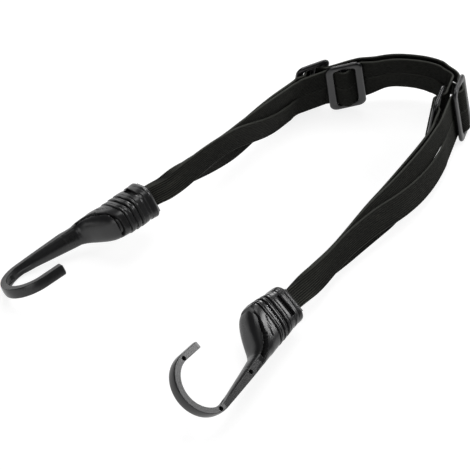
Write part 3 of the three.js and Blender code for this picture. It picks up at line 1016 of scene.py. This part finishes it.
    def make_mesh(self, name: str, grid: np.ndarray, normals: np.ndarray, outline: np.ndarray,
                  s: np.ndarray, half: np.ndarray) -> bpy.types.Mesh:
        """Makes a closed tube with flat ends, a millimetre map and the whole run's normals.

        Args:
            name: The mesh's name.
            grid: Points by ring and by place round the section.
            normals: Normals of the same points.
            outline: The section's points.
            s: Each ring's place along the strap.
            half: Half the width at each ring.

        Returns:
            The mesh.
        """
        rings, sides = grid.shape[:2]
        i, j = np.meshgrid(np.arange(rings - 1), np.arange(sides), indexing="ij")
        k = (j + 1) % sides
        quads = np.stack([i * sides + j, (i + 1) * sides + j, (i + 1) * sides + k, i * sides + k], -1)
        quads = quads.reshape(-1, 4).tolist()
        start, end = list(range(sides)), [(rings - 1) * sides + j for j in range(sides)]
        a, b, c = (grid.reshape(-1, 3)[v] for v in quads[0][:3])
        facing_out = np.dot(np.cross(b - a, c - b), normals.reshape(-1, 3)[quads[0][0]]) > 0
        if not facing_out:
            quads = [quad[::-1] for quad in quads]
        ends = [start, end[::-1]] if facing_out else [start[::-1], end]
        mesh = bpy.data.meshes.new(name)
        mesh.from_pydata(grid.reshape(-1, 3).tolist(), [], quads + ends)
        corner = np.array([loop.vertex_index for loop in mesh.loops])
        across = outline[corner % sides, 0] * half[corner // sides]
        uv = np.stack([across + self.route.band_width / 2, s[corner // sides]], 1)
        layer = mesh.uv_layers.new(name="weave")
        layer.data.foreach_set("uv", uv.astype(np.float32).ravel())
        flat = normals.reshape(-1, 3)[corner]
        first_cap = 4 * len(quads)
        travel = grid[-1].mean(0) - grid[-2].mean(0)
        flat[first_cap:first_cap + sides] = -unit(grid[1].mean(0) - grid[0].mean(0))
        flat[first_cap + sides:] = unit(travel)
        mesh.shade_smooth()
        mesh.normals_split_custom_set(flat.tolist())
        return mesh


@dataclass
class TriGlide:
    """The four tri-glide sliders: a rounded frame, wider at its end bars, and a centre bar."""

    route: StrapRoute
    corner: float = 4.4
    window_corner: float = 2.2
    swell: float = 0.5
    rail_swell: float = 0.35
    roundness: float = 2.5
    arc_steps: int = 9
    edge_steps: int = 10
    section_sides: int = 28
    bar_sink: float = 1.2
    bar_steps: int = 24
    sharp_angle: float = 50.0

    def loop(self, half_x: float, half_y: float, radius: float) -> np.ndarray:
        """Draws a rounded rectangle: an arc at each corner and even steps along each edge.

        Args:
            half_x: Half its size along the webbing.
            half_y: Half its size across the webbing.
            radius: Radius of its corners.

        Returns:
            Points round it.
        """
        angle = np.linspace(0, np.pi / 2, self.arc_steps + 1)
        centres = [(1, 1), (-1, 1), (-1, -1), (1, -1)]
        arcs = []
        for quarter, (x, y) in enumerate(centres):
            turn = angle + quarter * np.pi / 2
            arcs.append(np.stack([x * (half_x - radius) + radius * np.cos(turn),
                                  y * (half_y - radius) + radius * np.sin(turn)], 1))
        rows = []
        for arc, following in zip(arcs, arcs[1:] + arcs[:1]):
            rows.append(arc)
            rows.append(np.linspace(arc[-1], following[0], self.edge_steps + 2)[1:-1])
        return np.concatenate(rows)

    def section(self) -> tuple[np.ndarray, np.ndarray]:
        """Gives a squared ellipse: a circle whose cosine and sine are raised to a power below one.

        Returns:
            Its two coordinates, each from minus one to one.
        """
        turn = 2 * np.pi * (np.arange(self.section_sides) + 0.5) / self.section_sides
        power = 2 / self.roundness
        x = np.sign(np.cos(turn)) * np.abs(np.cos(turn)) ** power
        y = np.sign(np.sin(turn)) * np.abs(np.sin(turn)) ** power
        return x, y

    def make_mesh(self) -> bpy.types.Mesh:
        """Carries the section round between the inner and outer loops, and adds the centre bar.

        Each point of the frame is a mix of the two loops by the section's first coordinate, and
        its height is the second coordinate times half the thickness.

        Returns:
            The frame in millimetres, flat about its own middle.
        """
        route = self.route
        x, y = self.section()
        thick = route.slider_thickness / 2
        half_x, half_y = route.slider_length / 2, route.slider_height / 2
        outer = self.loop(half_x + self.swell, half_y + self.swell, self.corner)
        inner = self.loop(half_x - route.end_bar, half_y - route.side_rail - self.rail_swell,
                          self.window_corner)
        share = (x[None, :, None] + 1) / 2
        flat = inner[:, None] * (1 - share) + outer[:, None] * share
        rise = np.broadcast_to(thick * y, flat.shape[:2])
        frame_points = np.concatenate([flat, rise[..., None]], 2)
        reach = half_y - route.side_rail + self.bar_sink
        along = np.linspace(-reach, reach, self.bar_steps)[:, None]
        bar = np.stack(np.broadcast_arrays(x * route.centre_bar / 2, along, y * thick), 2)
        points, faces = [], []
        for grid, closed in ((frame_points, True), (bar, False)):
            faces += grid_faces(*grid.shape[:2], closed, sum(len(part) for part in points))
            points.append(grid.reshape(-1, 3))
        mesh = bpy.data.meshes.new("slider_frame")
        mesh.from_pydata(np.concatenate(points).tolist(), [], faces)
        outward(mesh)
        return mesh

    def build(self, material: bpy.types.Material) -> list[bpy.types.Object]:
        """Places the frame at each of the four sliders.

        Args:
            material: The sliders' plastic.

        Returns:
            The pieces' objects.
        """
        base = self.make_mesh()
        made = []
        for name in self.route.sliders:
            mesh = base.copy()
            mesh.transform(Matrix.Scale(MM, 4) @ self.route.slider_matrix(name))
            mesh.shade_smooth()
            mesh.set_sharp_from_angle(angle=math.radians(self.sharp_angle))
            piece = new_object(f"{name}_frame", mesh, material)
            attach(piece, name)
            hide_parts(name)
            made.append(piece)
            log.info("%s: %d faces", piece.name, len(mesh.polygons))
        return made


@dataclass(frozen=True)
class CutLine:
    """A line on the moulding's side faces: its place along the axis at each height."""

    heights: tuple[float, ...]
    places: tuple[float, ...]

    def at(self, h: np.ndarray) -> np.ndarray:
        """Gives the place along the axis at each height."""
        order = np.argsort(self.heights)
        return np.interp(h, np.array(self.heights)[order], np.array(self.places)[order])


@dataclass
class MouldedHook:
    """A guard hook in one moulding: finned collar, finger guard, shank, bend and tip.

    Places are measured along the axis from the collar's end, heights towards the tip's side.
    """

    guard_length: float = 44.0
    half_height: float = 12.0
    half_width: float = 9.6
    collar_start: float = 1.3
    end_round: float = 1.3
    end_round_reach: float = 2.2
    bore: float = 15.6
    bore_depth: float = 19.0
    slot_place: float = 9.1
    slot_width: float = 3.4
    slot_low: float = -5.7
    slot_high: float = 7.7
    throat_radius: float = 15.0
    throat_centre: float = 79.0
    tip_half_width: float = 3.0
    shank_thickness: float = 3.8
    tip_thickness: float = 4.3
    tip_outer_radius: float = 18.2
    tip_arm: float = 12.5
    dot_radius: float = 1.3
    dot_depth: float = 1.6
    shank_dot_share: float = 0.26
    tip_dot: tuple[float, float] = (80.5, 15.6)
    squareness: tuple[float, float] = (3.6, 2.8)
    land_squareness: float = 1.8
    shank_rounds: tuple[float, float] = (0.62, 0.14)
    bend_rounds: tuple[float, float] = (0.12, 0.22)
    sides: int = 128
    station_step: float = 0.2
    overrun: float = 2.0
    fin_profile: tuple[tuple[float, float], ...] = (
        (4.5, 0.0), (4.8, 0.25), (5.1, 0.0), (7.2, 0.0), (7.5, 0.6), (9.3, 0.6), (9.7, 0.2),
        (12.5, 0.0), (12.8, 0.4), (13.1, 0.0), (14.3, -0.1), (14.5, 1.6), (14.9, 1.7),
        (15.15, 0.7), (15.5, 0.4), (16.25, 0.1), (16.5, 0.5), (16.75, 0.1), (17.8, -0.1),
        (18.0, 1.6), (18.45, 1.7), (18.7, 0.7), (19.1, 0.4), (20.65, 0.1), (20.95, 0.5),
        (21.25, 0.1), (22.05, -0.1), (22.25, 1.5), (22.65, 1.5), (22.9, 0.4), (26.0, 0.2), (30.0, 0.0),
    )
    fin_drift: CutLine = CutLine(
        (12.5, 6.0, 0.0, -6.0, -9.0, -12.0), (-1.3, -0.1, 0.0, 0.6, 1.25, 2.0))
    fin_depth_on_edges: float = 0.5
    groove_collar_side: CutLine = CutLine(
        (13.0, 12.0, 10.0, 8.0, 6.0, 3.0, 0.0, -3.0, -6.0, -9.0, -10.5, -11.5, -12.2, -14.0),
        (24.6, 25.2, 26.3, 26.9, 27.4, 28.8, 30.1, 31.2, 33.2, 35.3, 37.3, 39.5, 42.0, 48.0))
    groove_guard_side: CutLine = CutLine(
        (13.0, 12.0, 10.0, 8.0, 6.0, 3.0, 0.0, -3.0, -6.0, -8.0, -9.0, -9.6, -14.0),
        (26.9, 27.2, 27.7, 28.1, 28.7, 31.0, 32.7, 33.8, 36.2, 38.8, 40.5, 43.0, 60.0))
    groove_depth: tuple[float, float] = (2.4, 5.0)
    groove_end: float = 41.6
    groove_wall: float = 0.35
    panel_line: CutLine = CutLine(
        (3.8, 3.0, 0.0, -3.0, -6.0, -6.8), (23.6, 24.2, 25.35, 27.2, 28.5, 28.5))
    panel_depth: float = 0.8
    panel_half_widths: tuple[float, float] = (0.35, 0.7)
    cross_line: float = 51.5
    cross_depth: float = 0.18
    rib_height: float = 0.4
    pocket_depth: float = 1.1
    bore_corner: float = 0.8
    bar_fade: float = 8.0
    guard_bar: float = 0.5
    bar_onset: float = 4.0
    shank_step: float = 0.45
    late_rounds: tuple[float, float] = (0.72, 0.28)
    bend_steps: int = 110
    tip_stations: tuple[float, ...] = (0.1, 0.3, 0.5, 0.7, 0.85, 0.93, 0.955, 0.975, 0.99, 1.0)
    tip_round: tuple[float, float, float] = (0.93, 0.07, 0.3)
    groove_deepens: tuple[float, float] = (8.0, 10.0)
    panel_widens: tuple[float, float] = (-2.0, 4.0)
    side_facing: float = 0.7
    cross_half_width: float = 0.4
    straight_turn: float = 1.0
    rib_reach: tuple[float, float] = (6.0, 3.0)
    rib_turns: tuple[float, float, float] = (0.1, 0.25, 0.5)
    rib_half_width: float = 0.9
    pocket_turns: tuple[float, float, float, float] = (0.45, 0.12, 1.35, 0.2)
    pocket_width: tuple[float, float] = (1.3, 0.5)
    facing_gain: float = 3.0
    bend_dot_turn: float = 12.0
    dot_sides: int = 28
    sharp_angle: float = 40.0
    outline_shares: tuple[tuple[float, float, float, float], ...] = (
        (0.0, 0.9, -0.88, 0.95),
        (0.025, 0.95, -0.92, 1.0),
        (0.14, 0.97, -0.94, 1.0),
        (0.43, 1.12, -1.06, 0.96),
        (0.53, 1.13, -1.1, 0.93),
        (0.6, 1.04, -1.13, 0.93),
        (0.67, 0.86, -1.15, 0.93),
        (0.74, 0.57, -1.18, 0.9),
        (0.8, 0.25, -1.19, 0.84),
        (0.85, -0.08, -1.21, 0.79),
        (0.89, -0.35, -1.22, 0.74),
        (0.935, -0.55, -1.24, 0.68),
        (1.0, -0.66, -1.26, 0.59),
    )

    def guard_sizes(self, a: np.ndarray) -> tuple[np.ndarray, ...]:
        """Gives the collar's and guard's outline.

        Args:
            a: Places along the axis.

        Returns:
            The top, the bottom and the half width at each place.
        """
        table = np.array(self.outline_shares)
        x = np.asarray(a) / self.guard_length
        top, bottom, side = (through_points(x, table[:, 0], table[:, i]) for i in (1, 2, 3))
        return top * self.half_height, bottom * self.half_height, side * self.half_width

    def tip_radius(self) -> float:
        """Gives the bend's middle radius where it meets the tip's straight arm."""
        return self.tip_outer_radius - self.tip_thickness / 2

    def stations(self) -> dict[str, np.ndarray]:
        """Lists the sections from the collar's end to the tip.

        Returns:
            For each section its middle (a, h), turn, half sizes, squareness, the share of the
            barred section with flat side faces, and its two roundings.
        """
        collar, guard = self.squareness
        a = np.arange(self.collar_start, self.guard_length, self.station_step)
        top, bottom, side = self.guard_sizes(a)
        ease = self.end_round * np.clip(1 - (a - self.collar_start) / self.end_round_reach, 0, 1) ** 2
        one, nil = np.ones_like(a), np.zeros_like(a)
        fade = smooth((a - self.guard_length + self.bar_fade) / self.bar_fade)
        rows = [[a, (top + bottom) / 2, nil, (top - bottom) / 2 - ease, side - ease,
                 collar + (guard - collar) * smooth(a / self.guard_length), self.guard_bar * fade,
                 self.shank_rounds[0] * one, self.shank_rounds[1] * one]]
        top, bottom, side = (v[0] for v in self.guard_sizes(np.array([self.guard_length])))
        start_h, start_half = (top + bottom) / 2, (top - bottom) / 2
        radius = self.throat_radius + self.shank_thickness / 2
        run = self.throat_centre - self.guard_length
        t = np.linspace(0, 1, round(run / self.shank_step))
        one = np.ones_like(t)
        slope = math.atan2(-radius - start_h, run)
        late = smooth((t - self.late_rounds[0]) / self.late_rounds[1])
        rows.append([
            self.guard_length + run * t, start_h + (-radius - start_h) * t, slope * (1 - t),
            start_half + (self.shank_thickness / 2 - start_half) * t,
            side + (self.tip_half_width - side) * t, guard * one,
            self.guard_bar + (1 - self.guard_bar) * smooth(t * self.bar_onset),
            self.shank_rounds[0] + (self.bend_rounds[0] - self.shank_rounds[0]) * late,
            self.shank_rounds[1] + (self.bend_rounds[1] - self.shank_rounds[1]) * late])
        t = np.linspace(0, 1, self.bend_steps)[1:]
        one = np.ones_like(t)
        turn = np.pi * t
        thick = self.shank_thickness + (self.tip_thickness - self.shank_thickness) * t
        first, last = self.throat_radius + self.shank_thickness / 2, self.tip_radius()
        middle = first + (last - first) * t
        rows.append([
            self.throat_centre + middle * np.sin(turn), -middle * np.cos(turn), turn, thick / 2,
            self.tip_half_width * one, guard * one, one, self.bend_rounds[0] * one,
            self.bend_rounds[1] * one])
        t = np.array(self.tip_stations)
        one = np.ones_like(t)
        begin, reach, drop = self.tip_round
        size = 1 - drop * np.clip((t - begin) / reach, 0, 1) ** 2
        rows.append([
            self.throat_centre - self.tip_arm * t, self.tip_radius() * one,
            np.pi * one, self.tip_thickness / 2 * size, self.tip_half_width * size, guard * one, one,
            self.bend_rounds[0] * one, self.bend_rounds[1] * one])
        names = ("a", "h", "turn", "half_h", "half_n", "square", "bar", "inner", "outer")
        return dict(zip(names, (np.concatenate(column) for column in zip(*rows))))

    def skin_points(self) -> np.ndarray:
        """Works out the moulding's surface.

        Each section is a squared ellipse in the collar and guard. Towards the shank it turns into
        a bar whose side faces are flat between two rounded walls. The fins, the groove round the
        guard, the panel's line and the bend's pocket are sunk along the section's own normal.

        Returns:
            Points by section and by place round it.
        """
        st = {name: values[:, None] for name, values in self.stations().items()}
        angle = -2 * np.pi * (np.arange(self.sides) + 0.5)[None] / self.sides
        power = 2 / st["square"]
        up = np.sign(np.sin(angle)) * np.abs(np.sin(angle)) ** power
        oval = np.sign(np.cos(angle)) * np.abs(np.cos(angle)) ** power
        inner, outer, p = st["inner"], st["outer"], self.land_squareness
        past = np.where(up > 0, (up - 1 + inner) / inner, (-up - 1 + outer) / outer)
        wall = (1 - np.clip(past, 0, 1) ** p) ** (1 / p)
        bar = np.sign(np.cos(angle)) * wall
        rise = up * st["half_h"]
        wide = (oval + (bar - oval) * st["bar"]) * st["half_n"]
        slope_h = np.roll(rise, -1, 1) - np.roll(rise, 1, 1)
        slope_n = np.roll(wide, -1, 1) - np.roll(wide, 1, 1)
        length = np.hypot(slope_h, slope_n) + NEAR_ZERO
        out_h, out_n = -slope_n / length, slope_h / length
        flip = np.where(np.sum(out_h * rise + out_n * wide, 1, keepdims=True) < 0, -1, 1)
        out_h, out_n = out_h * flip, out_n * flip
        a = np.broadcast_to(st["a"], rise.shape)
        turn = st["turn"] + 0 * rise
        depth = self.sunk(a, st["h"] + rise, out_n, turn)
        depth = depth + self.bend_details(a, wide, out_h, turn)
        rise, wide = rise - depth * out_h, wide - depth * out_n
        return np.stack([a - rise * np.sin(turn), st["h"] + rise * np.cos(turn), wide], 2)

    def sunk(self, a: np.ndarray, h: np.ndarray, out_n: np.ndarray, turn: np.ndarray) -> np.ndarray:
        """Gives how deep the collar's and guard's lines are sunk.

        Args:
            a: Places along the axis.
            h: Heights.
            out_n: How far the surface faces sideways.
            turn: The sections' turns, nought in the collar and guard.

        Returns:
            Depths in millimetres.
        """
        profile = np.array(self.fin_profile)
        sideways = self.fin_depth_on_edges + (1 - self.fin_depth_on_edges) * np.abs(out_n)
        fins = np.interp(a - self.fin_drift.at(h), profile[:, 0], profile[:, 1]) * sideways
        near, far = self.groove_collar_side.at(h), self.groove_guard_side.at(h)
        inside = np.minimum(a - near, far - a)
        inside = np.minimum(inside, self.groove_end - a)
        narrow, wide = self.groove_depth
        high, drop = self.groove_deepens
        floor = narrow + (wide - narrow) * smooth((high - h) / drop)
        groove = floor * smooth(inside / self.groove_wall)
        line = self.panel_line
        thin, bold = self.panel_half_widths
        high, drop = self.panel_widens
        half = thin + (bold - thin) * smooth((high - h) / drop)
        on_side = np.abs(out_n) > self.side_facing
        on_line = (h < max(line.heights)) & (h > min(line.heights)) & on_side
        panel = self.panel_depth * (1 - smooth(np.abs(a - line.at(h)) / half)) * on_line
        depth = np.maximum(np.maximum(fins, panel), groove)
        return np.where(a < self.guard_length, depth, 0) * (turn == 0)

    def bend_details(self, a: np.ndarray, wide: np.ndarray, out_h: np.ndarray,
                     turn: np.ndarray) -> np.ndarray:
        """Gives the shank's cross line, the rib before the bend and the pocket inside it.

        Each is its full depth or height times eased steps along the path and across the width.

        Args:
            a: Places along the axis.
            wide: Places across the width.
            out_h: How far the surface faces the tip's side.
            turn: The sections' turns in radians.

        Returns:
            Depths in millimetres, below nought where the rib stands proud.
        """
        facing = np.clip(out_h * self.facing_gain, 0, 1)
        cross = 1 - smooth(np.abs(a - self.cross_line) / self.cross_half_width)
        cross = self.cross_depth * cross * (turn < self.straight_turn) * facing
        before, rise = self.rib_reach
        fall, fall_reach, end = self.rib_turns
        along = smooth((a - (self.throat_centre - before)) / rise)
        along = along * (1 - smooth((turn - fall) / fall_reach))
        rib = 1 - smooth(np.abs(wide) / self.rib_half_width)
        rib = self.rib_height * along * rib * (turn < end)
        begin, begin_reach, fade, fade_reach = self.pocket_turns
        deep = smooth((turn - begin) / begin_reach) * (1 - smooth((turn - fade) / fade_reach))
        flat, wall = self.pocket_width
        pocket = self.pocket_depth * deep * (1 - smooth((np.abs(wide) - flat) / wall))
        return (cross + pocket - rib) * facing

    def box(self, low: tuple[float, float, float], high: tuple[float, float, float],
            corner: float) -> bmesh.types.BMesh:
        """Makes a block, with its long edges rounded along the axis.

        Args:
            low: Its lowest corner.
            high: Its highest corner.
            corner: Radius of the long edges, or nought.

        Returns:
            The block.
        """
        size = np.array(high) - np.array(low)
        shape = bmesh.new()
        bmesh.ops.create_cube(shape, size=1.0)
        bmesh.ops.scale(shape, vec=size, verts=shape.verts)
        bmesh.ops.translate(shape, vec=(np.array(high) + np.array(low)) / 2, verts=shape.verts)
        if corner:
            lengthwise = [e for e in shape.edges if abs(e.verts[0].co.x - e.verts[1].co.x) > size[0] / 2]
            bmesh.ops.bevel(shape, geom=lengthwise, offset=corner, segments=4, profile=0.5,
                            affect="EDGES")
        return shape

    def core_holes(self) -> list[bmesh.types.BMesh]:
        """Makes the blind holes of the moulding's cores, on one side face.

        Returns:
            One cylinder for each hole.
        """
        turn = math.radians(self.bend_dot_turn)
        radius = self.throat_radius + self.shank_thickness / 2
        top, bottom, side = (v[0] for v in self.guard_sizes(np.array([self.guard_length])))
        share = self.shank_dot_share
        places = (
            (self.guard_length + (self.throat_centre - self.guard_length) * share,
             (top + bottom) / 2 * (1 - share) - radius * share,
             side + (self.tip_half_width - side) * share),
            (self.throat_centre + radius * math.sin(turn), -radius * math.cos(turn),
             self.tip_half_width),
            (*self.tip_dot, self.tip_half_width),
        )
        holes = []
        for a, h, edge in places:
            shape = bmesh.new()
            bmesh.ops.create_cone(shape, cap_ends=True, segments=self.dot_sides,
                                  radius1=self.dot_radius, radius2=self.dot_radius,
                                  depth=2 * self.dot_depth)
            bmesh.ops.translate(shape, vec=(a, h, -edge), verts=shape.verts)
            holes.append(shape)
        return holes

    def make_mesh(self) -> bpy.types.Mesh:
        """Skins the moulding and cuts its bore, its latch slot and its core holes.

        Returns:
            The moulding in millimetres.
        """
        points = self.skin_points()
        rings, sides = points.shape[:2]
        faces = grid_faces(rings, sides, False, 0)
        skin = bpy.data.meshes.new("hook_skin")
        skin.from_pydata(points.reshape(-1, 3).tolist(), [], faces)
        outward(skin)
        target = bpy.data.objects.new("hook_skin", skin)
        bpy.context.scene.collection.objects.link(target)
        half, edge = self.bore / 2, self.half_width + self.overrun
        slot = (self.slot_place - self.slot_width / 2, self.slot_place + self.slot_width / 2)
        cutters = [
            self.box((-self.overrun, -half, -half), (self.bore_depth, half, half),
                     self.bore_corner),
            self.box((slot[0], self.slot_low, -edge), (slot[1], self.slot_high, edge), 0),
            *self.core_holes(),
        ]
        holders = []
        for number, shape in enumerate(cutters):
            mesh = bpy.data.meshes.new(f"cutter_{number}")
            shape.to_mesh(mesh)
            shape.free()
            holder = bpy.data.objects.new(f"cutter_{number}", mesh)
            bpy.context.scene.collection.objects.link(holder)
            cut = target.modifiers.new(f"cut_{number}", "BOOLEAN")
            cut.operation, cut.solver, cut.object = "DIFFERENCE", "EXACT", holder
            holders.append(holder)
        graph = bpy.context.evaluated_depsgraph_get()
        mesh = bpy.data.meshes.new_from_object(target.evaluated_get(graph))
        for holder in [target, *holders]:
            bpy.data.objects.remove(holder)
        return mesh

    def build(self, route: StrapRoute, material: bpy.types.Material) -> list[bpy.types.Object]:
        """Makes the moulding once and places it at both ends of the strap.

        Args:
            route: The strap's route.
            material: The hooks' plastic.

        Returns:
            The pieces' objects.
        """
        base = self.make_mesh()
        made = []
        for side in Side:
            mesh = base.copy()
            mesh.transform(Matrix.Scale(MM, 4) @ route.hook_matrix(side))
            mesh.shade_smooth()
            mesh.set_sharp_from_angle(angle=math.radians(self.sharp_angle))
            node = f"hook_{side.value}"
            piece = new_object(f"{node}_moulding", mesh, material)
            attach(piece, node)
            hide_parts(node)
            made.append(piece)
            log.info("%s: %d faces", piece.name, len(mesh.polygons))
        return made


@dataclass(frozen=True)
class Softbox:
    """A square area lamp: where it hangs, its size in metres and its power in watts."""

    name: str
    place: tuple[float, float, float]
    size: float
    power: float


@dataclass
class Studio:
    """White table-top setting: camera, floor, world and softboxes."""

    lens: float = 206.8
    sensor: float = 36.0
    distance: float = 1500.0
    tilt: float = 45.0
    clip: tuple[float, float] = (0.01, 50.0)
    floor_size: float = 6.0
    floor_colour: str = "9a9a9a"
    floor_lift: float = 0.84
    world_level: float = 0.34
    softboxes: tuple[Softbox, ...] = (
        Softbox("overhead", (0.0, 0.35, 1.25), 0.9, 8.0),
        Softbox("right_back", (1.05, 0.5, 0.62), 0.45, 6.7),
        Softbox("front_fill", (-0.35, -1.15, 0.45), 0.7, 2.9),
        Softbox("back", (0.1, 1.25, 0.5), 0.5, 7.0),
    )

    def camera(self, offset: np.ndarray) -> None:
        """Sets the camera where the photograph was taken from.

        Args:
            offset: Where the middle of the picture is, in millimetres.
        """
        data = bpy.data.cameras.new("camera")
        data.lens, data.sensor_width = self.lens, self.sensor
        camera = bpy.data.objects.new("camera", data)
        angle = math.radians(self.tilt)
        back = self.distance * np.array([0, -math.sin(angle), math.cos(angle)])
        camera.location = (offset + back) * MM
        camera.rotation_euler = (angle, 0, 0)
        data.clip_start, data.clip_end = self.clip
        bpy.context.scene.collection.objects.link(camera)
        bpy.context.scene.camera = camera

    def floor(self) -> None:
        """Lays the white floor, whose own colour keeps a light shadow of the strap."""
        t = NodeTree("floor_white")
        path = t.add("LightPath")
        seen = t.maths("MAXIMUM", path.outputs["Is Camera Ray"], path.outputs["Is Glossy Ray"])
        diffuse = t.add("BsdfDiffuse", {"Color": hex_colour(self.floor_colour)})
        lift = t.add("Emission", {
            "Color": (1, 1, 1, 1), "Strength": t.maths("MULTIPLY", seen, self.floor_lift),
        })
        material = t.finish(t.add("AddShader", {0: diffuse.outputs[0], 1: lift.outputs[0]}))
        half = self.floor_size / 2
        mesh = bpy.data.meshes.new("floor")
        mesh.from_pydata([(-half, -half, 0), (half, -half, 0), (half, half, 0), (-half, half, 0)], [],
                         [(0, 1, 2, 3)])
        floor = new_object("floor", mesh, material)

    def world(self) -> None:
        """Lights the strap evenly from above and shows white behind it."""
        world = bpy.data.worlds.new("studio")
        bpy.context.scene.world = world
        world.use_nodes = True
        tree = world.node_tree
        background = tree.nodes["Background"]
        path = tree.nodes.new("ShaderNodeLightPath")
        level = tree.nodes.new("ShaderNodeMapRange")
        level.inputs["To Min"].default_value = self.world_level
        level.inputs["To Max"].default_value = 1.0
        tree.links.new(path.outputs["Is Camera Ray"], level.inputs["Value"])
        tree.links.new(level.outputs["Result"], background.inputs["Strength"])

    def lamp(self, box: Softbox) -> None:
        """Hangs a softbox that faces the strap.

        Args:
            box: The softbox.
        """
        data = bpy.data.lights.new(box.name, "AREA")
        data.size, data.energy = box.size, box.power
        lamp = bpy.data.objects.new(box.name, data)
        lamp.location = box.place
        lamp.rotation_euler = (-Vector(box.place)).to_track_quat("-Z", "Y").to_euler()
        bpy.context.scene.collection.objects.link(lamp)

    def build(self, offset: np.ndarray) -> None:
        """Sets up the whole studio.

        Args:
            offset: Where the middle of the picture is, in millimetres.
        """
        bpy.context.scene.view_settings.view_transform = "Standard"
        self.camera(offset)
        self.floor()
        self.world()
        for box in self.softboxes:
            self.lamp(box)


def dress_inner_parts(plug: bpy.types.Material, steel: bpy.types.Material) -> None:
    """Gives the plugs and crimps inside the collars their materials.

    Args:
        plug: The plugs' plastic.
        steel: The crimps' steel.
    """
    for node, piece in frame["nodes"].items():
        finish = plug if node.endswith("_anchor") else steel if node.endswith("_crimp") else None
        if finish:
            for place in piece.material_slots:
                place.material = finish


def main() -> None:
    """Builds the strap, its finishes and the studio."""
    logging.basicConfig(level=logging.INFO, format="%(message)s")
    route = StrapRoute()
    webbing = WovenElastic().material(route.band_width, route.length)
    slider_plastic = SLIDER_ACETAL.material()
    hook_plastic = HOOK_NYLON.material()
    plug_plastic = PLUG_POLYPROPYLENE.material()
    Studio().build(route.offset)
    Webbing(route).build(webbing)
    TriGlide(route).build(slider_plastic)
    MouldedHook().build(route, hook_plastic)
    dress_inner_parts(plug_plastic, RolledSteel().material())


if __name__ == "__main__":
    main()
